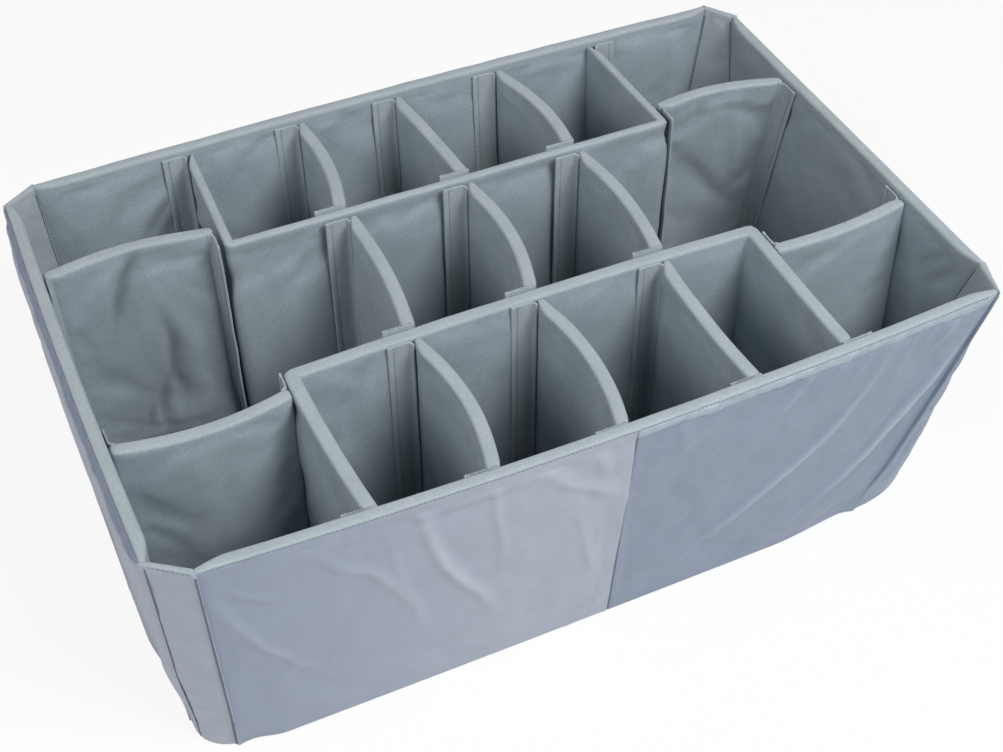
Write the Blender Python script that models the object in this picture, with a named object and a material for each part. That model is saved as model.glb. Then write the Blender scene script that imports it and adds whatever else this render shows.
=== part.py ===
"""Padded case divider set: a soft liner with walls, corner gussets, a floor and movable dividers.

Metres, +Z up. X runs along the length, Y from the front wall to the back wall, and the origin
lies at the middle of the underside. Every upright panel is a block, cut into strips and bent
to the line it follows, so a neighbour that meets it can ask where its faces lie.
"""

from dataclasses import dataclass
from math import sqrt
from typing import Callable

import bmesh
import bpy
from mathutils import Matrix, Vector

# Liner: outside size over the bowed rim, and how far the base stands inside the rim.
LINER_LENGTH = 0.775
LINER_WIDTH = 0.516
LINER_HEIGHT = 0.254
WALL_THICKNESS = 0.0115
WALL_SEAM_THICKNESS = 0.005
WALL_PINCH_LENGTH = 0.022
FLOOR_THICKNESS = 0.008
FRONT_RIM_BOW = 0.013
BACK_RIM_BOW = 0.0065
LEFT_RIM_BOW = 0.0045
RIGHT_RIM_BOW = 0.0005
BASE_BOW = 0.002
FRONT_BASE_INSET = 0.013
BACK_BASE_INSET = 0.010
SIDE_BASE_INSET = 0.0025

# Corner gussets: how far each one reaches along the walls, at the rim and at the base.
GUSSET_THICKNESS = 0.008
RIM_SETBACK = 0.037
RIM_SETBACK_SHARES = {
    "front_left": (1.02, 0.99),
    "back_left": (0.91, 0.67),
    "back_right": (0.64, 0.98),
    "front_right": (0.38, 1.31),
}
BASE_SETBACK = 0.060
BASE_SETBACK_SHARES = {
    "front_left": (0.71, 1.00),
    "back_left": (0.75, 0.88),
    "back_right": (0.95, 1.37),
    "front_right": (1.90, 2.10),
}
CORNER_ROUNDNESS_SHARES = {
    "front_left": 0.5,
    "back_left": 0.5,
    "back_right": 0.5,
    "front_right": 0.8,
}

# Dividers: foam pads in loop fabric, each with two sewn flaps of hook tape.
PAD_THICKNESS = 0.013
PAD_END_THICKNESS = 0.006
PAD_TAPER_LENGTH = 0.016
PAD_TOP_DROP = 0.0054
EDGE_ROUND = 0.005
FOLD_ROUND = 0.004
FLAP_WIDTH = 0.022
FLAP_THICKNESS = 0.0025
FLAP_TOP_DROP = 0.0005
FLAP_BASE_RISE = 0.006

# Clearances between pieces that touch.
SEAM_GAP = 0.0003
SEAT_GAP = 0.0006
FLOOR_GAP = 0.0006
FLAP_ROOT_GAP = 0.0014

# Strips that each kind of panel is cut into, and where its cross-section is cut.
WALL_STRIPS = 12
WALL_COURSES = 3
PAD_STRIPS = 6
GUSSET_STRIPS = 6
ACROSS_SHARES = (-0.6, 0.0, 0.6)
LEAST_STRIP_SHARE = 0.001

# The long panels, seen from above: their middle line as shares of half the width at the left and
# right end, and their bow as a share of their length.
LONG_SHARES = {
    "back_long": (0.386, 0.374, 0.0),
    "front_long": (-0.300, -0.304, 0.009),
}

# The cross dividers and the wings of the long dividers: their middle line as shares of half the
# length at the near (front) and far (back) end, and their bow as a share of their run.
WING_SHARES = {
    "back_long_left_wing": (-0.550, -0.539, 0.0),
    "back_long_right_wing": (0.601, 0.586, 0.0),
    "front_long_left_wing": (-0.538, -0.557, -0.012),
    "front_long_right_wing": (0.5755, 0.581, 0.0),
}
CROSS_SHARES = {
    "back_cross_1": (-0.268, -0.246, 0.064),
    "back_cross_2": (0.054, 0.017, 0.014),
    "back_cross_3": (0.339, 0.298, 0.074),
    "middle_cross_1": (-0.2735, -0.257, 0.038),
    "middle_cross_2": (0.023, 0.044, 0.078),
    "middle_cross_3": (0.346, 0.3445, 0.059),
    "front_cross_1": (-0.277, -0.280, 0.084),
    "front_cross_2": (0.0155, 0.019, 0.081),
    "front_cross_3": (0.339, 0.339, -0.016),
}

# The end dividers: their middle line as shares of half the width at the left and right end, their
# bow as a share of their run, and how far the right end leans back at its base, as a share of the
# divider's height.
END_SHARES = {
    "end_back_left": (0.488, 0.479, 0.073, 0.0),
    "end_front_left": (-0.373, -0.373, -0.071, 0.0),
    "end_back_right": (0.467, 0.413, 0.080, 0.16),
    "end_front_right": (-0.424, -0.3895, -0.044, -0.06),
}

HALF_LENGTH = LINER_LENGTH / 2
HALF_WIDTH = LINER_WIDTH / 2
GUSSET_EAR = (GUSSET_THICKNESS - WALL_SEAM_THICKNESS) / 2
PAD_BASE = FLOOR_THICKNESS + FLOOR_GAP
PAD_TOP = LINER_HEIGHT - PAD_TOP_DROP

FaceFinder = Callable[[float, float], float]


@dataclass(frozen=True)
class Finish:
    """Plain colour and surface of one material."""

    name: str
    colour: tuple[float, float, float]
    roughness: float


LOOP_FABRIC = Finish("grey_loop_fabric", (0.23, 0.27, 0.30), 0.95)
LOOP_FABRIC_DARK = Finish("grey_loop_fabric_floor", (0.17, 0.20, 0.22), 0.95)
OUTER_NYLON = Finish("lilac_grey_nylon", (0.35, 0.38, 0.46), 0.55)
HOOK_FLAP = Finish("grey_flap_fabric", (0.20, 0.23, 0.26), 0.85)


def material(finish: Finish) -> bpy.types.Material:
    """Return the Principled material of a finish, made on first use."""
    found = bpy.data.materials.get(finish.name)
    if found:
        return found
    made = bpy.data.materials.new(finish.name)
    made.use_nodes = True
    shader = made.node_tree.nodes["Principled BSDF"]
    shader.inputs["Base Color"].default_value = (*finish.colour, 1.0)
    shader.inputs["Roughness"].default_value = finish.roughness
    shader.inputs["Metallic"].default_value = 0.0
    return made


def blend(start, end, share):
    """Return the value a share of the way from start to end."""
    return start + (end - start) * share


def cut_block(name: str, cuts: tuple, place: Callable) -> bpy.types.Mesh:
    """Return a unit cube cut into strips, each vertex put where place() says.

    The cuts are three lists of shares, along, across (-1 to 1) and up. The cube's own faces are
    at 0 and 1 along and up, and at -1 and 1 across.
    """
    shape = bmesh.new()
    bmesh.ops.create_cube(shape, size=1.0, matrix=Matrix.Translation((0.5, 0.5, 0.5)))
    for vertex in shape.verts:
        vertex.co.y = 2 * vertex.co.y - 1
    for axis, shares in enumerate(cuts):
        normal = Vector([float(i == axis) for i in range(3)])
        for share in shares:
            everything = shape.verts[:] + shape.edges[:] + shape.faces[:]
            bmesh.ops.bisect_plane(shape, geom=everything, plane_co=normal * share, plane_no=normal)
    for vertex in shape.verts:
        vertex.co = Vector(place(*vertex.co))
    if shape.calc_volume(signed=True) < 0:
        bmesh.ops.reverse_faces(shape, faces=shape.faces[:])
    mesh = bpy.data.meshes.new(name)
    shape.to_mesh(mesh)
    shape.free()
    return mesh


def crown_drop(across: float) -> float:
    """Return how far a padded edge has fallen at a place across its thickness."""
    return EDGE_ROUND * (1 - sqrt(max(0.0, 1 - across * across)))


@dataclass(frozen=True)
class Bow:
    """A sideways bow, deepest at its centre and gone at its reach."""

    depth: float
    centre: float
    reach: float

    def at(self, along: float) -> float:
        """Return the sideways shift at a place along the run."""
        return self.depth * (1 - ((along - self.centre) / self.reach) ** 2)


@dataclass(frozen=True)
class Line:
    """One level of an upright panel, seen from above: a run that may bow sideways."""

    start: float
    end: float
    start_cross: float
    end_cross: float
    bow: Bow

    def along(self, share: float) -> float:
        """Return the place along the run."""
        return blend(self.start, self.end, share)

    def cross_at(self, along: float) -> float:
        """Return the sideways place of the middle of the panel at a place along the run."""
        share = (along - self.start) / (self.end - self.start)
        return blend(self.start_cross, self.end_cross, share) + self.bow.at(along)


def run_bow(start: float, end: float, share: float) -> Bow:
    """Return the bow of a divider's run, its depth given as a share of the run."""
    return Bow(share * (end - start), (start + end) / 2, (end - start) / 2)


@dataclass(frozen=True)
class Drawn:
    """One end of a panel where the padding is drawn in towards a seam or rounded at a fold."""

    depth: float = 0.0
    length: float = 0.0
    side: int = 0


@dataclass
class Panel:
    """An upright padded panel between a base line and a top line.

    The panel runs along X (along 0) or along Y (along 1), and its sides are -1 and +1 of the
    other axis. A face finder gives the place along the run where a neighbour's face stops it,
    from the sideways place and the height.
    """

    name: str
    along: int
    base: Line
    top: Line
    floor: float
    crest: float
    thickness: float
    strips: int
    start_drawn: Drawn = Drawn()
    end_drawn: Drawn = Drawn()
    start_face: FaceFinder | None = None
    end_face: FaceFinder | None = None
    courses: int = 1

    def stations(self) -> list[float]:
        """Return the shares of the run where the panel is cut, ends included."""
        run = self.top.end - self.top.start
        first = self.start_drawn.length / run
        last = 1 - self.end_drawn.length / run
        inner = [blend(first, last, i / self.strips) for i in range(self.strips + 1)]
        kept = [share for share in inner if LEAST_STRIP_SHARE < share < 1 - LEAST_STRIP_SHARE]
        return [0.0, *kept, 1.0]

    def height_share(self, z: float) -> float:
        """Return how far up the panel a height is, as a share."""
        return (z - self.floor) / (self.crest - self.floor)

    def along_at(self, share: float, z: float) -> float:
        """Return the place along the run at a share of it and a height."""
        return blend(self.base.along(share), self.top.along(share), self.height_share(z))

    def middle_at(self, along: float, z: float) -> float:
        """Return the sideways place of the panel's middle at a place along it and a height."""
        return blend(self.base.cross_at(along), self.top.cross_at(along), self.height_share(z))

    def drawn_in(self, share: float, side: int) -> float:
        """Return how far a side has moved in from its full thickness."""
        run = self.top.end - self.top.start
        depth = 0.0
        for drawn, distance in ((self.start_drawn, share * run), (self.end_drawn, (1 - share) * run)):
            if drawn.side == side and drawn.length:
                depth += drawn.depth * max(0.0, 1 - distance / drawn.length)
        return depth

    def side_place(self, share: float, z: float, side: int) -> float:
        """Return the sideways place of one side, at a share of the run and a height."""
        half = self.thickness / 2 - self.drawn_in(share, side)
        return self.middle_at(self.along_at(share, z), z) + side * half

    def face(self, along: float, z: float, side: int) -> float:
        """Return the sideways place of one side, at a place along the panel and a height.

        Drawn-in ends are left out, so nothing that stands against the panel reaches into them.
        """
        return self.middle_at(along, z) + side * self.thickness / 2

    def facing(self, side: int, gap: float) -> FaceFinder:
        """Return a face finder for what stands against one side with a gap."""
        return lambda cross, z: self.face(cross, z, side) + side * gap

    def place(self, share: float, across: float, up: float) -> tuple[float, float, float]:
        """Return the point of the solid at a share of the run, across and up."""
        z = blend(self.floor, self.crest - crown_drop(across), up)
        left = self.side_place(share, z, -1)
        right = self.side_place(share, z, 1)
        cross = blend(left, right, (across + 1) / 2)
        start = self.along_at(0.0, z)
        end = self.along_at(1.0, z)
        if self.start_face:
            start = self.start_face(cross, z)
        if self.end_face:
            end = self.end_face(cross, z)
        along = blend(start, end, share)
        return (along, cross, z) if self.along == 0 else (cross, along, z)

    def mesh(self) -> bpy.types.Mesh:
        """Return the panel's closed mesh."""
        rises = [i / self.courses for i in range(1, self.courses)]
        return cut_block(self.name, (self.stations()[1:-1], ACROSS_SHARES, rises), self.place)


def add_part(name: str, mesh: bpy.types.Mesh, finish: Finish, parent=None) -> bpy.types.Object:
    """Put a mesh made in world space into the part, under an optional parent."""
    mesh.materials.append(material(finish))
    part = bpy.data.objects.new(name, mesh)
    PARTS.objects.link(part)
    if parent:
        part.parent = parent
        part.matrix_parent_inverse = parent.matrix_world.inverted()
    return part


def wall_line(corner_names: tuple[str, str], setback: float, shares: dict, along: int,
              outer: float, bow: float, inset: float) -> Line:
    """Return a wall's middle line at one level, between its two gussets.

    The wall stands at the outer place of its bowed face, less its inset at this level.
    """
    half = (HALF_LENGTH, HALF_WIDTH)[along]
    start = -half + setback * shares[corner_names[0]][along]
    end = half - setback * shares[corner_names[1]][along]
    way = 1 if outer > 0 else -1
    corner = outer - way * (inset + bow + WALL_THICKNESS / 2)
    return Line(start, end, corner, corner, Bow(way * bow, 0.0, half))


def make_wall(name: str, along: int, corners: tuple[str, str], outer: float, rim_bow: float,
              base_inset: float) -> Panel:
    """Return one wall, its padding pinched to a seam at each end on the inside."""
    base = wall_line(corners, BASE_SETBACK, BASE_SETBACK_SHARES, along, outer, BASE_BOW, base_inset)
    top = wall_line(corners, RIM_SETBACK, RIM_SETBACK_SHARES, along, outer, rim_bow, 0.0)
    inside = -1 if outer > 0 else 1
    pinch = Drawn(WALL_THICKNESS - WALL_SEAM_THICKNESS, WALL_PINCH_LENGTH, inside)
    return Panel(name, along, base, top, 0.0, LINER_HEIGHT, WALL_THICKNESS, WALL_STRIPS,
                 pinch, pinch, courses=WALL_COURSES)


def seam_point(wall: Panel, way: int, z: float) -> Vector:
    """Return the middle of a wall's seam edge seen from above, at its start (-1) or end (1)."""
    share = (way + 1) / 2
    along = wall.along_at(share, z)
    cross = (wall.side_place(share, z, -1) + wall.side_place(share, z, 1)) / 2
    return Vector((along, cross)) if wall.along == 0 else Vector((cross, along))


@dataclass
class Gusset:
    """A corner panel between two wall ends: flat at the rim and rounded out at the base."""

    name: str
    long_wall: Panel
    side_wall: Panel
    long_way: int
    side_way: int
    roundness: float

    def place(self, share: float, across: float, up: float) -> tuple[float, float, float]:
        """Return the point at a share of the way from the long wall to the side wall."""
        drop = crown_drop(across) * GUSSET_THICKNESS / WALL_THICKNESS
        z = blend(0.0, LINER_HEIGHT - drop, up)
        start = seam_point(self.long_wall, self.long_way, z) + Vector((self.long_way * SEAM_GAP, 0.0))
        end = seam_point(self.side_wall, self.side_way, z) + Vector((0.0, self.side_way * SEAM_GAP))
        corner = Vector((end.x, start.y))
        bend = ((start + end) / 2).lerp(corner, self.roundness * (1 - up))
        middle = start.lerp(bend, share).lerp(bend.lerp(end, share), share)
        outward = Vector((self.long_way * share, self.side_way * (1 - share)))
        point = middle + outward * across * GUSSET_THICKNESS / 2
        return (point.x, point.y, z)

    def mesh(self) -> bpy.types.Mesh:
        """Return the gusset's closed mesh."""
        strips = [i / GUSSET_STRIPS for i in range(1, GUSSET_STRIPS)]
        rises = [i / WALL_COURSES for i in range(1, WALL_COURSES)]
        return cut_block(self.name, (strips, (0.0,), rises), self.place)

    def inner_points(self, z: float) -> list[Vector]:
        """Return the points a floor gap inside it at a height, from long wall to side wall."""
        across = -1 - FLOOR_GAP / (GUSSET_THICKNESS / 2)
        shares = [i / GUSSET_STRIPS for i in range(GUSSET_STRIPS + 1)]
        return [Vector((*self.place(share, across, z / LINER_HEIGHT)[:2], z)) for share in shares]


def wall_inner_points(wall: Panel, z: float) -> list[Vector]:
    """Return the points a floor gap inside a wall at a height, from its start to its end."""
    inside = -1 if wall.base.start_cross > 0 else 1
    points = []
    for share in wall.stations()[1:-1]:
        along = wall.along_at(share, z)
        cross = wall.side_place(share, z, inside) + inside * FLOOR_GAP
        points.append(Vector((along, cross, z)) if wall.along == 0 else Vector((cross, along, z)))
    return points


def floor_outline(walls: dict[str, Panel], gussets: dict[str, Gusset], z: float) -> list[Vector]:
    """Return the floor pad's outline at a height: the liner's inside, less a gap."""
    points = wall_inner_points(walls["front_wall"], z)
    points += gussets["front_right"].inner_points(z)
    points += wall_inner_points(walls["right_wall"], z)
    points += reversed(gussets["back_right"].inner_points(z))
    points += reversed(wall_inner_points(walls["back_wall"], z))
    points += gussets["back_left"].inner_points(z)
    points += reversed(wall_inner_points(walls["left_wall"], z))
    points += reversed(gussets["front_left"].inner_points(z))
    return points


def floor_mesh(walls: dict[str, Panel], gussets: dict[str, Gusset]) -> bpy.types.Mesh:
    """Return the floor pad, a loft between its outlines at its underside and its top."""
    shape = bmesh.new()
    rings = []
    for z in (0.0, FLOOR_THICKNESS):
        rings.append([shape.verts.new(point) for point in floor_outline(walls, gussets, z)])
    lower, upper = rings
    shape.faces.new(reversed(lower))
    shape.faces.new(upper)
    for i, corner in enumerate(lower):
        following = (i + 1) % len(lower)
        shape.faces.new((corner, lower[following], upper[following], upper[i]))
    mesh = bpy.data.meshes.new("floor_pad")
    shape.to_mesh(mesh)
    shape.free()
    return mesh


def flap_drawn(side: int) -> Drawn:
    """Return the drawn-in end of a pad that carries a flap on one side."""
    return Drawn(PAD_THICKNESS - PAD_END_THICKNESS, PAD_TAPER_LENGTH, side)


def fold_drawn(side: int) -> Drawn:
    """Return the rounded outer corner of a long panel at its fold."""
    return Drawn(FOLD_ROUND, FOLD_ROUND, side)


def pad_panel(name: str, along: int, places: tuple[float, float], bow_share: float, lean: float,
              faces: tuple[FaceFinder, FaceFinder], drawn: tuple[Drawn, Drawn], strips: int) -> Panel:
    """Return a divider pad that stands between two faces on the floor pad.

    Args:
        places: the sideways place of its middle at the start and end of its run.
        bow_share: its bow as a share of the run.
        lean: how far the base of its end stands sideways of its top.
        faces: what stops it at its start and its end.
        drawn: how its ends are drawn in.
        strips: the number of straight strips along the run.
    """
    start, end = (face(place, PAD_TOP) for face, place in zip(faces, places))
    bow = run_bow(start, end, bow_share)
    base = Line(start, end, places[0], places[1] + lean, bow)
    top = Line(start, end, places[0], places[1], bow)
    return Panel(name, along, base, top, PAD_BASE, PAD_TOP, PAD_THICKNESS, strips,
                 drawn[0], drawn[1], faces[0], faces[1])


def add_lift(name: str, panel: Panel) -> bpy.types.Object:
    """Add the empty that a divider's pieces hang from, at the base of its panel's run."""
    empty = bpy.data.objects.new(f"{name}_lift", None)
    empty.location = panel.place(0.5, 0.0, 0.0)
    PARTS.objects.link(empty)
    bpy.context.view_layer.update()
    return empty


def add_flap(name: str, lift: bpy.types.Object, pad: Panel, end: int, turn: int, host: Panel,
             host_side: int) -> None:
    """Add a flap that lies on a host panel's face, hinged along the pad's sewn end.

    Args:
        pad: the divider pad that carries the flap.
        end: 0 at the start of the pad's run, 1 at its end.
        turn: the way the flap turns along its host, -1 or 1.
        host: the panel that the flap is pressed onto.
        host_side: the side of the host that it lies on.
    """
    root_stand_off = FLAP_THICKNESS / 2 + FLAP_ROOT_GAP
    host_stand_off = FLAP_THICKNESS / 2 + SEAT_GAP
    heights = (PAD_BASE + FLAP_BASE_RISE, PAD_TOP - FLAP_TOP_DROP)

    def corner(reach: float, z: float) -> Vector:
        along = pad.side_place(end, z, turn) + turn * (root_stand_off + reach)
        cross = host.face(along, z, host_side) + host_side * host_stand_off
        return Vector((along, cross, z)) if host.along == 0 else Vector((cross, along, z))

    root, crest = (corner(0.0, z) for z in heights)
    across_axis = Vector((0.0, FLAP_THICKNESS / 2, 0.0) if host.along == 0 else (FLAP_THICKNESS / 2, 0.0, 0.0))
    hinge = Matrix.Translation(root) @ Vector((0, 0, 1)).rotation_difference(crest - root).to_matrix().to_4x4()

    def place(reach: float, across: float, up: float) -> Vector:
        sewn = root.lerp(crest, up)
        free = corner(FLAP_WIDTH, heights[0]).lerp(corner(FLAP_WIDTH, heights[1]), up)
        return sewn.lerp(free, reach) + across_axis * across

    mesh = cut_block(name, ((), (), ()), place)
    mesh.transform(hinge.inverted())
    mesh.materials.append(material(HOOK_FLAP))
    flap = bpy.data.objects.new(name, mesh)
    PARTS.objects.link(flap)
    flap.parent = lift
    flap.matrix_world = hinge


def build_liner() -> dict[str, Panel]:
    """Build the walls, gussets and floor pad, and return the wall panels by name."""
    walls = {
        "front_wall": make_wall("front_wall", 0, ("front_left", "front_right"), -HALF_WIDTH,
                                FRONT_RIM_BOW, FRONT_BASE_INSET),
        "back_wall": make_wall("back_wall", 0, ("back_left", "back_right"), HALF_WIDTH,
                               BACK_RIM_BOW, BACK_BASE_INSET),
        "left_wall": make_wall("left_wall", 1, ("front_left", "back_left"), -HALF_LENGTH,
                               LEFT_RIM_BOW, SIDE_BASE_INSET),
        "right_wall": make_wall("right_wall", 1, ("front_right", "back_right"), HALF_LENGTH - GUSSET_EAR,
                                RIGHT_RIM_BOW, SIDE_BASE_INSET - GUSSET_EAR),
    }
    for name, panel in walls.items():
        add_part(name, panel.mesh(), OUTER_NYLON)
    gussets = {}
    for corner, roundness in CORNER_ROUNDNESS_SHARES.items():
        long_name, side_name = corner.split("_")
        gussets[corner] = Gusset(f"{corner}_gusset", walls[f"{long_name}_wall"], walls[f"{side_name}_wall"],
                                 1 if side_name == "right" else -1, 1 if long_name == "back" else -1, roundness)
        add_part(gussets[corner].name, gussets[corner].mesh(), OUTER_NYLON)
    add_part("floor_pad", floor_mesh(walls, gussets), LOOP_FABRIC_DARK)
    return walls


def build_long_divider(name: str, wall: Panel, walls: dict[str, Panel]) -> dict[str, Panel]:
    """Build a long divider: one panel and two wings folded towards a wall, with two flaps.

    Returns:
        Its three panels by node name.
    """
    left_share, right_share, bow_share = LONG_SHARES[name]
    to_back = wall is walls["back_wall"]
    inner_side = 1 if to_back else -1
    wing_names = (f"{name}_left_wing", f"{name}_right_wing")
    fold_end = 0 if to_back else 1
    ends = []
    for wing_name in wing_names:
        ends.append(WING_SHARES[wing_name][fold_end] * HALF_LENGTH)
    start = ends[0] - PAD_THICKNESS / 2
    end = ends[1] + PAD_THICKNESS / 2
    line = Line(start, end, left_share * HALF_WIDTH, right_share * HALF_WIDTH, run_bow(start, end, bow_share))
    long_panel = Panel(f"{name}_panel", 0, line, line, PAD_BASE, PAD_TOP, PAD_THICKNESS, PAD_STRIPS,
                       fold_drawn(-inner_side), fold_drawn(-inner_side))
    lift = add_lift(name, long_panel)
    add_part(long_panel.name, long_panel.mesh(), LOOP_FABRIC, lift)
    panels = {long_panel.name: long_panel}
    fold_face = long_panel.facing(inner_side, SEAM_GAP)
    wall_face = wall.facing(-inner_side, SEAT_GAP)
    faces = (fold_face, wall_face) if to_back else (wall_face, fold_face)
    for wing_name, turn in zip(wing_names, (-1, 1)):
        near, far, wing_bow = WING_SHARES[wing_name]
        drawn = (Drawn(), flap_drawn(turn)) if to_back else (flap_drawn(turn), Drawn())
        wing = pad_panel(wing_name, 1, (near * HALF_LENGTH, far * HALF_LENGTH), wing_bow, 0.0, faces, drawn,
                         PAD_STRIPS // 2)
        add_part(wing_name, wing.mesh(), LOOP_FABRIC, lift)
        add_flap(wing_name.replace("wing", "flap"), lift, wing, int(to_back), turn, wall, -inner_side)
        panels[wing_name] = wing
    return panels


def build_cross_divider(name: str, near_host: Panel, far_host: Panel) -> Panel:
    """Build a cross divider between two hosts, both flaps turned to the left."""
    near, far, bow = CROSS_SHARES[name]
    faces = (near_host.facing(1, SEAT_GAP), far_host.facing(-1, SEAT_GAP))
    pad = pad_panel(f"{name}_pad", 1, (near * HALF_LENGTH, far * HALF_LENGTH), bow, 0.0, faces,
                    (flap_drawn(-1), flap_drawn(-1)), PAD_STRIPS)
    lift = add_lift(name, pad)
    add_part(pad.name, pad.mesh(), LOOP_FABRIC, lift)
    add_flap(f"{name}_near_flap", lift, pad, 0, -1, near_host, 1)
    add_flap(f"{name}_far_flap", lift, pad, 1, -1, far_host, -1)
    return pad


def build_end_divider(name: str, left_host: Panel, right_host: Panel, turn: int) -> Panel:
    """Build an end divider between an end wall and a wing, both flaps turned the same way."""
    left, right, bow, lean = END_SHARES[name]
    faces = (left_host.facing(1, SEAT_GAP), right_host.facing(-1, SEAT_GAP))
    pad = pad_panel(f"{name}_pad", 0, (left * HALF_WIDTH, right * HALF_WIDTH), bow,
                    lean * (PAD_TOP - PAD_BASE), faces, (flap_drawn(turn), flap_drawn(turn)), PAD_STRIPS)
    lift = add_lift(name, pad)
    add_part(pad.name, pad.mesh(), LOOP_FABRIC, lift)
    add_flap(f"{name}_left_flap", lift, pad, 0, turn, left_host, 1)
    add_flap(f"{name}_right_flap", lift, pad, 1, turn, right_host, -1)
    return pad


def build() -> None:
    """Build the whole divider set."""
    walls = build_liner()
    panels = dict(walls)
    panels |= build_long_divider("back_long", walls["back_wall"], walls)
    panels |= build_long_divider("front_long", walls["front_wall"], walls)
    hosts = {
        "back": (panels["back_long_panel"], walls["back_wall"]),
        "middle": (panels["front_long_panel"], panels["back_long_panel"]),
        "front": (walls["front_wall"], panels["front_long_panel"]),
    }
    for name in CROSS_SHARES:
        near_host, far_host = hosts[name.split("_")[0]]
        build_cross_divider(name, near_host, far_host)
    for name in END_SHARES:
        row, side = name.split("_")[1:]
        turn = -1 if row == "back" else 1
        wing = panels[f"{row}_long_{side}_wing"]
        left_host, right_host = (walls["left_wall"], wing) if side == "left" else (wing, walls["right_wall"])
        build_end_divider(name, left_host, right_host, turn)


for old in list(bpy.data.objects):
    bpy.data.objects.remove(old)
PARTS = bpy.data.collections.new("case_divider_set")
bpy.context.scene.collection.children.link(PARTS)
build()
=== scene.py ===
"""Dresses the case divider set: padded loop fabric inside, slick nylon outside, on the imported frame.

Metres, +Z up, X along the length, the front wall at -Y. Each padded panel is cut as a flat, rounded
skin first. Relief is pressed into the flat skin, and a course then bends it to where the CAD has
that panel, so neighbours meet as they do in the frame.
"""

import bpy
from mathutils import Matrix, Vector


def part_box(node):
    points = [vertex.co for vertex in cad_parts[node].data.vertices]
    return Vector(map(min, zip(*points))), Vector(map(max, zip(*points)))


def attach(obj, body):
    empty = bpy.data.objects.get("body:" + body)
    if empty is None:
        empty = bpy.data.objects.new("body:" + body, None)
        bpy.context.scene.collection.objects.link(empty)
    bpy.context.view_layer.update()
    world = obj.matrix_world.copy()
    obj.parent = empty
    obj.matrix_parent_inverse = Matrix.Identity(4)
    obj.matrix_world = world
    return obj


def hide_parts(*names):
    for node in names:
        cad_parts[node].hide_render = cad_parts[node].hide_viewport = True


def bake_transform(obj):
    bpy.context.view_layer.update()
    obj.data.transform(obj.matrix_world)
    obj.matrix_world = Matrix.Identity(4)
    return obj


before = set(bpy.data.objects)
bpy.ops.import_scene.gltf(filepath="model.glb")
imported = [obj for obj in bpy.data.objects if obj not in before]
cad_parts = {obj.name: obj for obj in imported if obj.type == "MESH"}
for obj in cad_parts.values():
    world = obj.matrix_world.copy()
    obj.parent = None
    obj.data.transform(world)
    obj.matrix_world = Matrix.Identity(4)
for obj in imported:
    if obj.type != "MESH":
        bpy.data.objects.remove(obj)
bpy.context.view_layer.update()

import logging
from collections.abc import Callable
from dataclasses import dataclass
from enum import Enum
from functools import partial

import bpy
import numpy as np
from mathutils import Matrix, Vector
from mathutils.kdtree import KDTree

LOG = logging.getLogger("case_divider_set")
MM = 0.001
UP = np.array((0.0, 0.0, 1.0))
WHITE = "#FFFFFF"


# Finishes


def linear(code: str) -> tuple[float, float, float, float]:
    """Return an sRGB hex colour as linear red, green, blue and alpha."""
    channels = [int(code[i:i + 2], 16) / 255 for i in (1, 3, 5)]
    return (*(c / 12.92 if c <= 0.04045 else ((c + 0.055) / 1.055) ** 2.4 for c in channels), 1.0)


def per_metre(size_mm: float) -> float:
    """Return the texture scale at which one cell of a pattern measures this many millimetres."""
    return 1 / (size_mm * MM)


# Blender's wave texture draws this many times as many bands as its scale says.
WAVES = 20


def add_node(tree: bpy.types.NodeTree, kind: str, links: dict | None = None,
             **settings) -> bpy.types.Node:
    """Add a shader node to a material or a world and join it up.

    Args:
        tree: the node tree.
        kind: Blender's type name of the node, after its word ShaderNode.
        links: for each input, by name or number, what goes in: a value, an output socket, or a node,
            which stands for its first output in use.
        settings: the node's own settings.

    Returns:
        The new node.
    """
    made = tree.nodes.new("ShaderNode" + kind)
    for name, value in settings.items():
        setattr(made, name, value)
    for name, value in (links or {}).items():
        if isinstance(value, bpy.types.Node):
            value = next(socket for socket in value.outputs if socket.enabled)
        if isinstance(value, bpy.types.NodeSocket):
            tree.links.new(value, made.inputs[name])
        else:
            made.inputs[name].default_value = value
    return made


NodeMaker = Callable[..., bpy.types.Node]


@dataclass(frozen=True)
class Finish:
    """A finish, named for the real material that it stands for."""

    name: str

    def make(self) -> bpy.types.Material:
        """Return the material."""
        made = bpy.data.materials.new(self.name)
        made.use_nodes = True
        made.node_tree.nodes.clear()
        node = partial(add_node, made.node_tree)
        node("OutputMaterial", {"Surface": self.surface(node, node("TexCoord").outputs["Object"])})
        return made

    def surface(self, node: NodeMaker, place: bpy.types.NodeSocket) -> bpy.types.Node:
        """Return the shader.

        Args:
            node: adds a node to the material.
            place: the place on the object, in metres.
        """
        raise NotImplementedError

    @staticmethod
    def painted_crease_light(node: NodeMaker, colour: bpy.types.Node, way: float, changed: str) -> bpy.types.Node:
        """Return a colour with painted light from the piece's own record of its creases.

        Args:
            node: adds a node to the material.
            colour: the colour away from creases.
            way: 1 for a painted highlight on crests, -1 for a painted shade where the piece is pressed in.
            changed: the colour of a full crease: the painted highlight or the painted shade colour.
        """
        # Mix in the painted highlight or the painted shade by the piece's crease record.
        record = node("Attribute", attribute_name="crease").outputs["Fac"]
        share = node("Math", {0: record, 1: way}, operation="MULTIPLY", use_clamp=True)
        return node("Mix", {0: share, 6: colour, 7: linear(changed)}, data_type="RGBA")


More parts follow.
